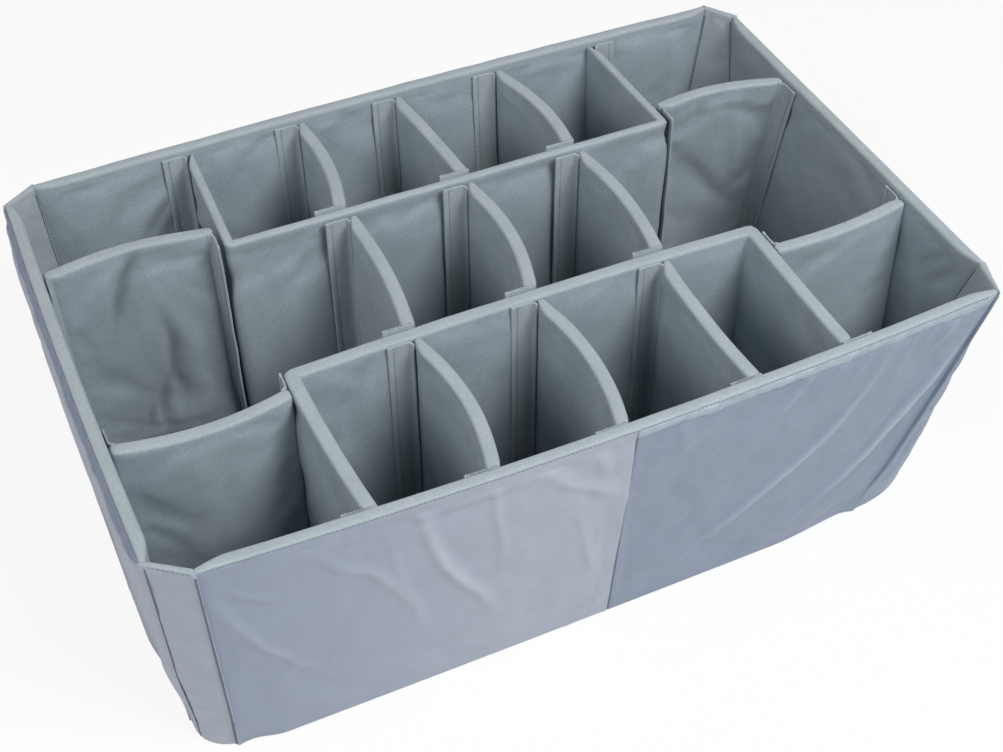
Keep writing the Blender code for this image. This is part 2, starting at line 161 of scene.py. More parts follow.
@dataclass(frozen=True)
class LoopFabric(Finish):
    """Brushed polyester loop fabric: a knit napped into fine loops, laminated to foam.

    To the eye it is dead matt with a soft bright edge from the standing fibres, slightly mottled by
    the loops and by nap that lies this way and that. The loops are about 0.8 mm across, too fine to
    show, so they are drawn at 1.5 mm. In pressed-in creases and in listed patches its colour is painted
    darker: a painted shade.
    """

    light: str
    dark: str
    loops_mm: float = 1.5
    fibres_mm: float = 0.9
    nap_mm: float = 24.0
    roughness: float = 0.95
    sheen: float = 0.1
    # Colour of the painted shade in pressed-in creases and listed shade patches.
    painted_shade: str = "#4E575D"

    def surface(self, node: NodeMaker, place: bpy.types.NodeSocket) -> bpy.types.Node:
        """Return the shader: two thirds loops and one third nap."""
        loops = node("TexNoise", {"Vector": place, "Scale": per_metre(self.loops_mm), "Detail": 3.0,
                                  "Roughness": 0.65})
        nap = node("TexNoise", {"Vector": place, "Scale": per_metre(self.nap_mm), "Detail": 3.0,
                                "Roughness": 0.6})
        fibres = node("TexNoise", {"Vector": place, "Scale": per_metre(self.fibres_mm), "Detail": 2.0})
        mixed = node("Math", {0: nap, 1: 0.30}, operation="MULTIPLY")
        mottle = node("Math", {0: loops, 1: 0.70, 2: mixed}, operation="MULTIPLY_ADD")
        spread = node("MapRange", {"Value": mottle, "From Min": 0.36, "From Max": 0.64})
        colour = node("Mix", {0: spread, 6: linear(self.dark), 7: linear(self.light)}, data_type="RGBA")
        coarse = node("Bump", {"Height": loops, "Strength": 0.3, "Distance": 0.4 * MM})
        fine = node("Bump", {"Height": fibres, "Strength": 0.25, "Distance": 0.2 * MM, "Normal": coarse})
        # The base colour is painted darker where the piece is pressed in: a painted shade.
        return node("BsdfPrincipled", {
            "Base Color": self.painted_crease_light(node, colour, -1.0, self.painted_shade), "Roughness": self.roughness,
            "Normal": fine, "Specular IOR Level": 0.2, "Sheen Weight": self.sheen, "Sheen Roughness": 0.5})


@dataclass(frozen=True)
class SlickNylon(Finish):
    """Coated nylon taffeta: smooth plain weave of flat filament yarn, calendered on the outside.

    To the eye it has a broad soft gloss that breaks up over small puckers, and a faint thread grid.
    The threads are 0.25 mm apart, too fine to show, so they are drawn 1.6 mm apart. A length of it may
    be painted darker towards the object's left end, over the distances in left_reach from its middle:
    a painted shade. Along the crests of sharp folds it is painted paler: a painted highlight.
    """

    light: str
    dark: str
    # Colour of the painted shade at the object's left end, or None for none.
    left_end: str | None = None
    left_reach: tuple[float, float] = (-0.36, -0.08)
    thread_mm: float = 1.6
    pucker_mm: float = 22.0
    crinkle_mm: float = 6.0
    roughness: float = 0.46
    # Colour of the painted highlight along sharp fold crests.
    painted_highlight: str = "#D3D8E0"

    def surface(self, node: NodeMaker, place: bpy.types.NodeSocket) -> bpy.types.Node:
        """Return the shader: puckers, crinkles and threads, each over the last."""
        puckers = node("TexNoise", {"Vector": place, "Scale": per_metre(self.pucker_mm), "Detail": 4.0,
                                    "Roughness": 0.55, "Distortion": 0.8})
        crinkle = node("TexNoise", {"Vector": place, "Scale": per_metre(self.crinkle_mm), "Detail": 2.0,
                                    "Distortion": 0.5})
        threads = [node("TexWave", {"Vector": place, "Scale": per_metre(self.thread_mm) / WAVES,
                                    "Distortion": 0.4, "Detail": 1.0}, bands_direction=way).outputs["Fac"]
                   for way in ("X", "Z")]
        weave = node("Math", {0: threads[0], 1: threads[1]}, operation="ADD")
        spread = node("MapRange", {"Value": puckers, "From Min": 0.3, "From Max": 0.7})
        colour = node("Mix", {0: spread, 6: linear(self.dark), 7: linear(self.light)}, data_type="RGBA")
        # Painted shade: darker towards the object's left end.
        if self.left_end is not None:
            x = node("SeparateXYZ", {"Vector": place}).outputs["X"]
            reach = node("MapRange", {"Value": x, "From Min": self.left_reach[0],
                                      "From Max": self.left_reach[1]})
            colour = node("Mix", {0: reach, 6: linear(self.left_end), 7: colour}, data_type="RGBA")
        normal = None
        for height, strength, depth in ((puckers, 0.16, 2.5), (crinkle, 0.12, 0.7), (weave, 0.12, 0.15)):
            over = {"Normal": normal} if normal else {}
            normal = node("Bump", {"Height": height, "Strength": strength, "Distance": depth * MM, **over})
        # The crest record paints a highlight into the colour.
        return node("BsdfPrincipled", {
            "Base Color": self.painted_crease_light(node, colour, 1.0, self.painted_highlight), "Roughness": self.roughness,
            "Normal": normal, "Specular IOR Level": 0.4, "Sheen Weight": 0.05, "Sheen Roughness": 0.4})


@dataclass(frozen=True)
class SewingThread(Finish):
    """Spun polyester sewing thread: two plies twisted, so each stitch has a soft satin glint."""

    colour: str
    ply_mm: float = 0.6
    roughness: float = 0.6

    def surface(self, node: NodeMaker, place: bpy.types.NodeSocket) -> bpy.types.Node:
        """Return the shader."""
        ply = node("TexWave", {"Vector": place, "Scale": per_metre(self.ply_mm) / WAVES},
                   bands_direction="DIAGONAL")
        bump = node("Bump", {"Height": ply.outputs["Fac"], "Strength": 0.3, "Distance": 0.1 * MM})
        return node("BsdfPrincipled", {"Base Color": linear(self.colour), "Roughness": self.roughness,
                                       "Normal": bump})


@dataclass(frozen=True)
class HookTape(Finish):
    """Woven nylon hook tape: rows of stiff nylon hooks on a ribbed ground, a dry bristly grey.

    The hooks stand 1.5 mm apart in rows, drawn at their real spacing.
    """

    light: str
    dark: str
    row_mm: float = 1.5

    def surface(self, node: NodeMaker, place: bpy.types.NodeSocket) -> bpy.types.Node:
        """Return the shader."""
        hooks = node("TexVoronoi", {"Vector": place, "Scale": per_metre(self.row_mm), "Randomness": 0.35})
        colour = node("Mix", {0: hooks, 6: linear(self.light), 7: linear(self.dark)}, data_type="RGBA")
        bump = node("Bump", {"Height": hooks, "Strength": 0.8, "Distance": 0.6 * MM}, invert=True)
        return node("BsdfPrincipled", {"Base Color": colour, "Roughness": 0.7, "Normal": bump})


@dataclass(frozen=True)
class StudioWhite(Finish):
    """Seamless white paper sweep: it takes the object's faint shadow and is white to the camera."""

    colour: str = "#F4F4F4"
    shadow_share: float = 0.12

    def surface(self, node: NodeMaker, place: bpy.types.NodeSocket) -> bpy.types.Node:
        """Return the shader."""
        seen = node("LightPath").outputs["Is Camera Ray"]
        share = node("Math", {0: seen, 1: 1 - self.shadow_share}, operation="MULTIPLY")
        return node("MixShader", {0: share, 1: node("BsdfDiffuse", {"Color": linear(self.colour)}),
                                  2: node("Emission", {"Color": linear(WHITE), "Strength": 1.0})})


class Cloth(Enum):
    """The finishes of the set."""

    LOOP = LoopFabric("grey_brushed_loop_fabric", "#A9B6BE", "#929FA7")
    # A lighter copy of the loop fabric: painted light, on the wall rims and pad crowns that face the lamps,
    # and on the flaps and gusset linings.
    LOOP_RIM = LoopFabric("grey_loop_fabric_painted_lit", "#AFB9BE", "#9CA8AE", nap_mm=30.0)
    # Dark floor fabric, made darker still to paint the shade at the bottoms of the deep cells.
    LOOP_FLOOR = LoopFabric("dark_floor_loop_fabric_and_painted_shade", "#3A3F43", "#33383C")
    NYLON_LILAC = SlickNylon("lilac_grey_nylon_taffeta", "#A4ABB8", "#9CA4B1")
    # A copy that darkens towards the left end of the front wall: painted shade.
    NYLON_DRIFTING = SlickNylon("lilac_grey_nylon_taffeta_painted_left_shade", "#A4ABB8", "#9CA4B1",
                                left_end="#8993A5")
    NYLON_BLUE = SlickNylon("blue_grey_nylon_taffeta", "#8691A4", "#7F8B9D")
    BINDING = SlickNylon("grey_nylon_binding", "#A3AEBA", "#97A2AF", pucker_mm=14.0)
    BINDING_DARK = SlickNylon("blue_grey_nylon_binding", "#7F8B9E", "#76829A", pucker_mm=14.0)
    SEAM = SewingThread("dark_lilac_seam_cord", "#5F6474", ply_mm=1.2)
    THREAD = SewingThread("grey_polyester_thread", "#7C858C")
    # Dark thread for overcast stitches, and for the inner seam cords, where its darkness paints the shade in
    # the seam folds.
    THREAD_DARK = SewingThread("dark_grey_polyester_thread_and_painted_seam_shade", "#5E676D")
    HOOK = HookTape("grey_hook_tape", "#7E878D", "#5A6268")

    def material(self) -> bpy.types.Material:
        """Return the finish's material, made on first use."""
        return bpy.data.materials.get(self.value.name) or self.value.make()


class Slot(Enum):
    """The record's material slots."""

    LOOP = "loop_fabric"
    NYLON = "outer_nylon"
    FLOOR = "floor_fabric"
    FLAP = "flap_fabric"


# Flat skins, their relief and their courses


def corners_of(node: str) -> np.ndarray:
    """Return the distinct corners of a CAD node."""
    corners = np.array([v.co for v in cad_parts[node].data.vertices])
    return np.unique(np.round(corners, 6), axis=0)


def unit(vectors: np.ndarray) -> np.ndarray:
    """Return vectors at length 1."""
    return vectors / np.linalg.norm(vectors, axis=1)[:, None]


class Crumple:
    """Seeded smooth hills and hollows over a sheet, from -1 to 1."""

    CELLS = 64

    def __init__(self, seed: int) -> None:
        """Fill the table of heights from a seed."""
        self.table = np.random.default_rng(seed).uniform(-1.0, 1.0, (self.CELLS, self.CELLS))

    def at(self, along: np.ndarray, up: np.ndarray, along_size: float, up_size: float) -> np.ndarray:
        """Return the height at places on the sheet, for hills of a given size each way."""
        x, y = along / along_size, up / up_size
        i, j = np.floor(x).astype(int), np.floor(y).astype(int)
        fx, fy = x - i, y - j
        fx, fy = fx * fx * (3 - 2 * fx), fy * fy * (3 - 2 * fy)
        n, t = self.CELLS, self.table
        low = t[i % n, j % n] * (1 - fx) + t[(i + 1) % n, j % n] * fx
        high = t[i % n, (j + 1) % n] * (1 - fx) + t[(i + 1) % n, (j + 1) % n] * fx
        return low * (1 - fy) + high * fy

    def ridged(self, along: np.ndarray, up: np.ndarray, along_size: float, up_size: float) -> np.ndarray:
        """Return sharp-crested folds instead, from 0 in the hollows to 1 on the crests."""
        return (1 - np.abs(self.at(along, up, along_size, up_size))) ** 3


@dataclass(frozen=True)
class Fold:
    """One crease or fold in a sheet, in millimetres on the flat sheet.

    Attributes:
        line: the points that it follows, along and up.
        width: how wide it is to each side.
        depth: how high it stands, below zero where it is pressed in.
    """

    line: tuple[tuple[float, float], ...]
    width: float
    depth: float

    def at(self, along: np.ndarray, up: np.ndarray) -> np.ndarray:
        """Return the height that the fold adds at places on the sheet."""
        line = np.array(self.line) * MM
        run = run_of(line)
        nearest = np.full(along.shape, np.inf)
        place = np.zeros(along.shape)
        for i, way in enumerate(np.diff(line, axis=0)):
            off = (along - line[i, 0], up - line[i, 1])
            held = np.clip((off[0] * way[0] + off[1] * way[1]) / (way @ way), 0, 1)
            distance = np.hypot(off[0] - held * way[0], off[1] - held * way[1])
            place = np.where(distance < nearest, run[i] + held * (run[i + 1] - run[i]), place)
            nearest = np.minimum(nearest, distance)
        taper = np.sin(np.pi * np.clip(place / run[-1], 0.04, 0.96)) ** 0.6
        return self.depth * MM * hump(nearest, self.width * MM) * taper


def folded(folds: tuple[Fold, ...], along: np.ndarray, up: np.ndarray) -> np.ndarray:
    """Return the height that several folds add together."""
    return sum((fold.at(along, up) for fold in folds), np.zeros(along.shape))


def hump(distance: np.ndarray, width: float) -> np.ndarray:
    """Return a smooth bump, 1 at no distance and gone beyond its width."""
    return np.exp(-(distance / width) ** 2)


def fade(value: np.ndarray, start: float, end: float) -> np.ndarray:
    """Return 0 at start and 1 at end, smoothly between."""
    share = np.clip((value - start) / (end - start), 0, 1)
    return share * share * (3 - 2 * share)


@dataclass(frozen=True)
class Rounding:
    """How far a padded panel's edges are rounded, in metres."""

    ends: float
    sides: float
    base: float
    top: float


class Face(Enum):
    """The six faces of a flat panel."""

    START = 0
    END = 1
    LEFT = 2
    RIGHT = 3
    BASE = 4
    TOP = 5


EDGE_SHARES = np.array((0.0, 0.3, 0.65, 1.0))


def cuts(length: float, first: float, last: float, step: float, extra: tuple = ()) -> np.ndarray:
    """Return where a panel is cut one way: evenly, and closer together in its rounded edges."""
    count = max(2, round((length - first - last) / step) + 1)
    inner = np.linspace(first, length - last, count)
    inner = inner[[all(abs(x - e) > 0.4 * MM for e in extra) for x in inner]]
    every = np.concatenate([EDGE_SHARES * first, inner, length - EDGE_SHARES * last, extra])
    return np.unique(np.round(every, 6))


class Skin:
    """The rounded skin of a flat padded panel, as a lattice of points: along, across and up."""

    def __init__(self, size: tuple[float, float, float], rounding: Rounding, step: float,
                 rim_cuts: tuple = (), along_cuts: tuple = ()) -> None:
        """Cut the skin.

        Args:
            size: length, thickness and height.
            rounding: how far its edges are rounded.
            step: the distance between cuts.
            rim_cuts: extra heights at which it is cut.
            along_cuts: extra distances along it at which it is cut.
        """
        self.size = size
        lines = (cuts(size[0], rounding.ends, rounding.ends, step, along_cuts),
                 cuts(size[1], rounding.sides, rounding.sides, size[1]),
                 cuts(size[2], rounding.base, rounding.top, step, rim_cuts))
        shell = np.zeros([len(line) for line in lines], bool)
        for axis in range(3):
            shell.swapaxes(0, axis)[[0, -1]] = True
        ids = np.full(shell.shape, -1)
        ids[shell] = np.arange(shell.sum())
        flat = np.stack(np.meshgrid(*lines, indexing="ij"), -1)[shell]
        quads, labels = [], []
        for axis in range(3):
            for end in (0, -1):
                layer = ids.take(end, axis=axis)
                quad = np.stack([layer[:-1, :-1], layer[1:, :-1], layer[1:, 1:], layer[:-1, 1:]], -1)
                quad = quad.reshape(-1, 4)
                quads.append(quad if (axis == 1) == (end == 0) else quad[:, ::-1])
                labels.append(np.full(len(quad), 2 * axis - end))
        self.quads, self.labels = np.concatenate(quads), np.concatenate(labels)
        low = np.array((rounding.ends, rounding.sides, rounding.base))
        high = np.array((rounding.ends, rounding.sides, rounding.top))
        held = np.clip(flat, low, np.array(size) - high)
        off = flat - held
        radius = np.where(off < 0, low, high)
        turned = unit(off / radius)
        self.points = held + turned * radius
        self.normals = unit(turned / radius)
        self.flat = self.points.copy()

    def press(self, height: np.ndarray) -> None:
        """Move the skin outwards by a height at each point."""
        self.points += self.normals * height[:, None]

    def side(self, way: int) -> np.ndarray:
        """Return how much each point faces one broad side, -1 left or 1 right, from 0 to 1."""
        return np.clip(self.normals[:, 1] * way, 0, 1)

    def middles(self) -> np.ndarray:
        """Return the middle of each face on the flat skin."""
        return self.flat[self.quads].mean(axis=1)


@dataclass
class Course:
    """Where a flat panel goes once it is bent.

    Attributes:
        run: distances along the flat panel.
        levels: heights, from the base up.
        sides: left and right side lines seen from above, by level, distance and side.
    """

    run: np.ndarray
    levels: np.ndarray
    sides: np.ndarray
    thickness: float

    def place(self, points: np.ndarray) -> np.ndarray:
        """Return world points for points of the flat panel."""
        i = np.clip(np.searchsorted(self.run, points[:, 0]) - 1, 0, len(self.run) - 2)
        along = ((points[:, 0] - self.run[i]) / (self.run[i + 1] - self.run[i]))[:, None, None]
        z = points[:, 2] + self.levels[0]
        j = np.clip(np.searchsorted(self.levels, z) - 1, 0, len(self.levels) - 2)
        rise = ((z - self.levels[j]) / (self.levels[j + 1] - self.levels[j]))[:, None, None]
        low = self.sides[j, i] * (1 - along) + self.sides[j, i + 1] * along
        high = self.sides[j + 1, i] * (1 - along) + self.sides[j + 1, i + 1] * along
        both = low * (1 - rise) + high * rise
        across = (points[:, 1] / self.thickness)[:, None]
        flat = both[:, 0] * (1 - across) + both[:, 1] * across
        return np.column_stack([flat, z])

    def length(self) -> float:
        """Return the flat panel's length."""
        return float(self.run[-1])

    def height(self) -> float:
        """Return the panel's height."""
        return float(self.levels[-1] - self.levels[0])


def run_of(middle: np.ndarray) -> np.ndarray:
    """Return the distance along a line of points at each of them."""
    return np.concatenate([[0.0], np.cumsum(np.linalg.norm(np.diff(middle, axis=0), axis=1))])


# Stitches


@dataclass(frozen=True)
class Stitching:
    """A row of lock stitches, each a small grain of thread half sunk in the fabric."""

    length: float = 2.6 * MM
    gap: float = 1.3 * MM
    radius: float = 0.42 * MM
    sides: int = 5

    def row(self, path: np.ndarray, outward: np.ndarray) -> tuple[np.ndarray, np.ndarray]:
        """Return the stitches along a path.

        Args:
            path: world points that the row follows.
            outward: the fabric's normal at each of them.

        Returns:
            The points and the four-cornered faces of the stitches.
        """
        run = run_of(path)
        starts = np.arange(self.gap, run[-1] - self.length, self.length + self.gap)
        points, quads = [], []
        rings = ((0.0, 0.25), (0.2, 0.9), (0.8, 0.9), (1.0, 0.25))
        turn = np.linspace(0, 2 * np.pi, self.sides, endpoint=False)
        for start in starts:
            base = sum(len(p) for p in points)
            ends = [np.array([np.interp(s, run, path[:, k]) for k in range(3)])
                    for s in (start, start + self.length)]
            normal = np.array([np.interp(start, run, outward[:, k]) for k in range(3)])
            way = ends[1] - ends[0]
            cross = np.cross(way, normal)
            cross /= np.linalg.norm(cross)
            normal = np.cross(cross, way) / np.linalg.norm(way)
            for share, size in rings:
                middle = ends[0] + way * share + normal * self.radius * 0.35
                circle = np.outer(np.cos(turn), normal) + np.outer(np.sin(turn), cross)
                points.append(middle + circle * self.radius * size)
            for ring in range(len(rings) - 1):
                for k in range(self.sides):
                    a, b = base + ring * self.sides + k, base + ring * self.sides + (k + 1) % self.sides
                    quads.append((a, b, b + self.sides, a + self.sides))
        if not points:
            return np.zeros((0, 3)), np.zeros((0, 4), int)
        return np.concatenate(points), np.array(quads)


def cord_stitching(radius: float) -> Stitching:
    """Return stitches that overlap, so that they read as one thin cord."""
    return Stitching(length=5 * MM, gap=-0.4 * MM, radius=radius)


@dataclass
class Pattern:
    """A piece while it is being sewn together: its points, faces and the finish of each face."""

    name: str
    points: np.ndarray
    quads: np.ndarray
    finishes: np.ndarray
    cloths: list[Cloth]
    creases: np.ndarray | None = None

    def add(self, points: np.ndarray, quads: np.ndarray, cloth: Cloth) -> None:
        """Add more faces in one finish."""
        if not len(quads):
            return
        if cloth not in self.cloths:
            self.cloths.append(cloth)
        self.quads = np.concatenate([self.quads, quads + len(self.points)])
        self.finishes = np.concatenate([self.finishes, np.full(len(quads), self.cloths.index(cloth))])
        self.points = np.concatenate([self.points, points])

    def declare(self, body: str, node: str) -> bpy.types.Object:
        piece = self.sew()
        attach(piece, body)
        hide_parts(node)
        LOG.info("%s: padded, rides on %s", piece.name, body)
        return piece

    def sew(self) -> bpy.types.Object:
        """Return the finished piece as an object at the origin."""
        corners = self.points[self.quads]
        middle = corners.mean(axis=(0, 1))
        area = np.cross(corners[:, 2] - corners[:, 0], corners[:, 3] - corners[:, 1])
        if ((corners.mean(axis=1) - middle) * area).sum() < 0:
            self.quads = self.quads[:, ::-1]
        mesh = bpy.data.meshes.new(self.name)
        mesh.from_pydata(self.points.tolist(), [], self.quads.tolist())
        for cloth in self.cloths:
            mesh.materials.append(cloth.material())
        mesh.polygons.foreach_set("material_index", self.finishes.astype(np.int32))
        mesh.polygons.foreach_set("use_smooth", np.ones(len(self.quads), bool))
        # The crease record drives the painted highlights and the painted shade of the finishes.
        if self.creases is not None:
            record = np.zeros(len(self.points), np.float32)
            record[:len(self.creases)] = self.creases
            mesh.attributes.new("crease", "FLOAT", "POINT").data.foreach_set("value", record)
        mesh.update()
        piece = bpy.data.objects.new(self.name, mesh)
        bpy.context.scene.collection.objects.link(piece)
        return piece


# Reading the frame


STATION_GAP = 1.5 * MM
LEAST_THICKNESS = 3 * MM


class CadPanel:
    """The side lines of one upright padded panel of the frame.

    A panel's faces are bows, so a quadratic through the frame's corners gives them exactly.
    """

    def __init__(self, node: str, along: int, full_side: int) -> None:
        """Read the panel.

        Args:
            node: the CAD node.
            along: 0 if it runs along X, 1 along Y.
            full_side: the side, -1 or 1, that isn't drawn in at its ends.
        """
        corners = corners_of(node)
        if along == 1:
            corners = corners[:, [1, 0, 2]]
        heights = np.unique(np.round(corners[:, 2], 4))
        self.along, self.full_side = along, full_side
        self.levels = np.array((heights[0], heights[-3]))
        self.top = float(heights[-1])
        rows = [self.row(corners, level) for level in self.levels]
        self.ends = np.array([[row[0][:, 0], row[-1][:, 0]] for row in rows])
        keep = (full_side + 1) // 2
        self.bends = [np.polyfit(row[:, keep, 0], row[:, keep, 1], min(2, len(row) - 1)) for row in rows]
        self.thickness = float((rows[0][:, 1, 1] - rows[0][:, 0, 1]).max())

    @staticmethod
    def row(corners: np.ndarray, height: float) -> np.ndarray:
        """Return the left and right corner of each station at a height."""
        level = corners[np.abs(corners[:, 2] - height) < 0.2 * MM]
        level = level[np.argsort(level[:, 0])]
        breaks = np.flatnonzero(np.diff(level[:, 0]) > STATION_GAP) + 1
        rows = []
        for station in np.split(level, breaks):
            station = station[np.argsort(station[:, 1])]
            if station[-1, 1] - station[0, 1] > LEAST_THICKNESS:
                rows.append((station[0, :2], station[-1, :2]))
        return np.array(rows)

    def full_face(self, level: int, along: np.ndarray) -> np.ndarray:
        """Return the sideways place of the full side at a level, 0 base or 1 top."""
        return np.polyval(self.bends[level], along)

    def side(self, level: int, side: int, shares: np.ndarray, drawn: np.ndarray) -> np.ndarray:
        """Return a side line seen from above.

        Args:
            level: 0 for the base, 1 for the top.
            side: -1 or 1.
            shares: shares of the run.
            drawn: how far the side that isn't full is drawn in at each of them.
        """
        start, end = self.ends[level, :, (side + 1) // 2]
        along = start + (end - start) * shares
        cross = self.full_face(level, along)
        if side != self.full_side:
            cross = cross + side * (self.thickness - drawn)
        pair = (along, cross) if self.along == 0 else (cross, along)
        return np.column_stack(pair)


@dataclass(frozen=True)
class EndStyle:
    """How a pad's padding is drawn in at an end, beside its flap."""

    depth: float
    length: float
    root_shift: float


TAPERED = EndStyle(7.5 * MM, 20 * MM, 0.0)
SOFT_TAPER = EndStyle(5.5 * MM, 14 * MM, 0.0)
BLUNT = EndStyle(2.5 * MM, 9 * MM, 2.6 * MM)
PLAIN = EndStyle(0.0, 1 * MM, 0.0)
NEAR_STANDS = (3.2 * MM, 0.3 * MM)
END_WIDTH = 7.5 * MM
FLAP_ROOM = 2.2 * MM


@dataclass(frozen=True)
class Cushioning:
    """Blender's cloth run on a panel's fabric, held at its seams and pushed out by its foam.

    Attributes:
        voxel: the cell size of the mesh that is run.
        pressure: how hard the foam pushes.
        slack: how much larger than the panel its fabric is cut, as a share.
        held: how far from the panel's edges the fabric is held.
        tacks: how many places per square decimetre are stuck to the foam.
        cap: how far a point may move.
        frames: how many frames are run.
    """

    voxel: float = 5.5 * MM
    pressure: float = 0.7
    slack: float = 0.012
    held: float = 9 * MM
    tacks: float = 0.9
    cap: float = 1.8 * MM
    frames: int = 14

    def puff(self, skin: Skin, name: str, seed: int,
             seam: tuple[float, float] | None = None) -> np.ndarray:
        """Args:
            skin: the flat skin, without its relief.
            name: the panel's name.
            seed: seeds where its fabric is stuck to the foam.
            seam: how far along an upright seam lies at the base and at the top, or None.
        """
        piece = self.copy(skin, name)
        rest = np.empty(len(piece.data.vertices) * 3)
        piece.data.vertices.foreach_get("co", rest)
        rest = rest.reshape(-1, 3)
        self.hold(piece, rest, skin.size, seed, seam)
        self.set_cloth(piece)
        for frame_number in range(1, self.frames + 1):
            bpy.context.scene.frame_set(frame_number)
        solved = piece.evaluated_get(bpy.context.evaluated_depsgraph_get())
        moved = np.empty(rest.size)
        solved.data.vertices.foreach_get("co", moved)
        moved = moved.reshape(-1, 3) - rest
        reach = np.linalg.norm(moved, axis=1)[:, None]
        moved *= self.cap * np.tanh(reach / self.cap) / np.maximum(reach, 1e-9)
        bpy.context.scene.frame_set(1)
        bpy.data.meshes.remove(piece.data)
        LOG.info("%s: cloth run, largest move %.1f mm", name, float(reach.max()) / MM)
        return self.carry(rest, moved, skin.points)

    def copy(self, skin: Skin, name: str) -> bpy.types.Object:
        """Return an evenly remeshed copy of the flat skin."""
        mesh = bpy.data.meshes.new(f"{name}_run")
        mesh.from_pydata(skin.points.tolist(), [], skin.quads.tolist())
        piece = bpy.data.objects.new(f"{name}_run", mesh)
        bpy.context.scene.collection.objects.link(piece)
        remesh = piece.modifiers.new("remesh", "REMESH")
        remesh.mode, remesh.voxel_size = "VOXEL", self.voxel
        even = bpy.data.meshes.new_from_object(piece.evaluated_get(bpy.context.evaluated_depsgraph_get()))
        piece.modifiers.clear()
        piece.data = even
        bpy.data.meshes.remove(mesh)
        return piece

    def hold(self, piece: bpy.types.Object, points: np.ndarray, size: tuple, seed: int,
             seam: tuple[float, float] | None) -> None:
        """Pin the fabric near the panel's edges, along its seam and where it is stuck to the foam."""
        edge = np.minimum(np.minimum(points[:, 0], size[0] - points[:, 0]),
                          np.minimum(points[:, 2], size[2] - points[:, 2]))
        weight = 1 - fade(edge, self.held * 0.6, self.held)
        count = round(self.tacks * size[0] * size[2] * 100)
        spots = np.random.default_rng(seed).uniform((0, 0, 0), size, (max(count, 1), 3))
        for spot in spots:
            side = np.abs(points[:, 1] - np.round(spot[1] / size[1]) * size[1]) < size[1] / 2
            away = np.hypot(points[:, 0] - spot[0], points[:, 2] - spot[2])
            weight = np.maximum(weight, hump(away, 11 * MM) * side)
        if seam is not None:
            line = seam[0] + (seam[1] - seam[0]) * points[:, 2] / size[2]
            weight = np.maximum(weight, hump(points[:, 0] - line, 6 * MM))
        group = piece.vertex_groups.new(name="held")
        for index in np.flatnonzero(weight > 0.02):
            group.add([int(index)], float(weight[index]), "REPLACE")

    def set_cloth(self, piece: bpy.types.Object) -> None:
        """Give the copy the cloth settings of fabric on foam."""
        cloth = piece.modifiers.new("cloth", "CLOTH")
        settings = cloth.settings
        settings.quality = 4
        settings.mass = 0.25
        settings.tension_stiffness = settings.compression_stiffness = 18.0
        settings.shear_stiffness = 8.0
        settings.bending_stiffness = 1.2
        settings.use_pressure = True
        settings.uniform_pressure_force = self.pressure
        settings.shrink_min = -self.slack
        settings.vertex_group_mass = "held"
        settings.effector_weights.gravity = 0.0
        cloth.collision_settings.use_collision = False
        cloth.point_cache.frame_start, cloth.point_cache.frame_end = 1, self.frames

    @staticmethod
    def carry(rest: np.ndarray, moved: np.ndarray, points: np.ndarray) -> np.ndarray:
        """Return the moves of the run mesh carried to other points, from the four nearest."""
        tree = KDTree(len(rest))
        for index, point in enumerate(rest):
            tree.insert(point, index)
        tree.balance()
        carried = np.zeros(points.shape)
        for index, point in enumerate(points):
            near = tree.find_n(point, 4)
            shares = np.array([1 / (distance + 0.5 * MM) for _, _, distance in near])
            nearest = moved[[number for _, number, _ in near]]
            carried[index] = (nearest * shares[:, None]).sum(axis=0) / shares.sum()
        return carried


def drawn_in(run: np.ndarray, start: EndStyle, end: EndStyle) -> np.ndarray:
    """Return how far a side is drawn in at distances along a run."""
    total = np.zeros(len(run))
    for style, distance in ((start, run), (end, run[-1] - run)):
        total += style.depth * np.clip(1 - distance / style.length, 0, 1) ** 1.5
    return total


def extend(low: np.ndarray, high: np.ndarray, levels: np.ndarray, top: float) -> np.ndarray:
    """Return side lines at the top of a panel, carried on from its two known levels."""
    share = (top - levels[0]) / (levels[1] - levels[0])
    return low + (high - low) * share


def shifted(shares: np.ndarray, shift: float | np.ndarray) -> np.ndarray:
    """Return shares of a run moved along it: by the shift at its middle, and not at its ends."""
    return shares + 4 * shift * shares * (1 - shares)


def straight_course(panel: CadPanel, style: tuple[EndStyle, EndStyle], top: float,
                    base_shift: float = 0.0) -> Course:
    """Return the course of a panel that doesn't fold, from its CAD side lines.

    Args:
        panel: the panel's side lines.
        style: how it is drawn in at its start and its end.
        top: the height of its crown.
        base_shift: how far the middle of its base stands further along, as a share of its run.
    """
    start, end = panel.ends.mean(axis=(0, 2))
    length = end - start
    run = np.linspace(0, length, max(8, round(length / (3 * MM))))
    drawn = drawn_in(run, *style)
    levels = []
    for level in (0, 1):
        shares = shifted(run / length, base_shift * (1 - level))
        levels.append(np.stack([panel.side(level, side, shares, drawn) for side in (-1, 1)], axis=1))
    high = extend(levels[0], levels[1], panel.levels, top)
    return Course(run, np.array((panel.levels[0], top)), np.array((levels[0], high)), panel.thickness)


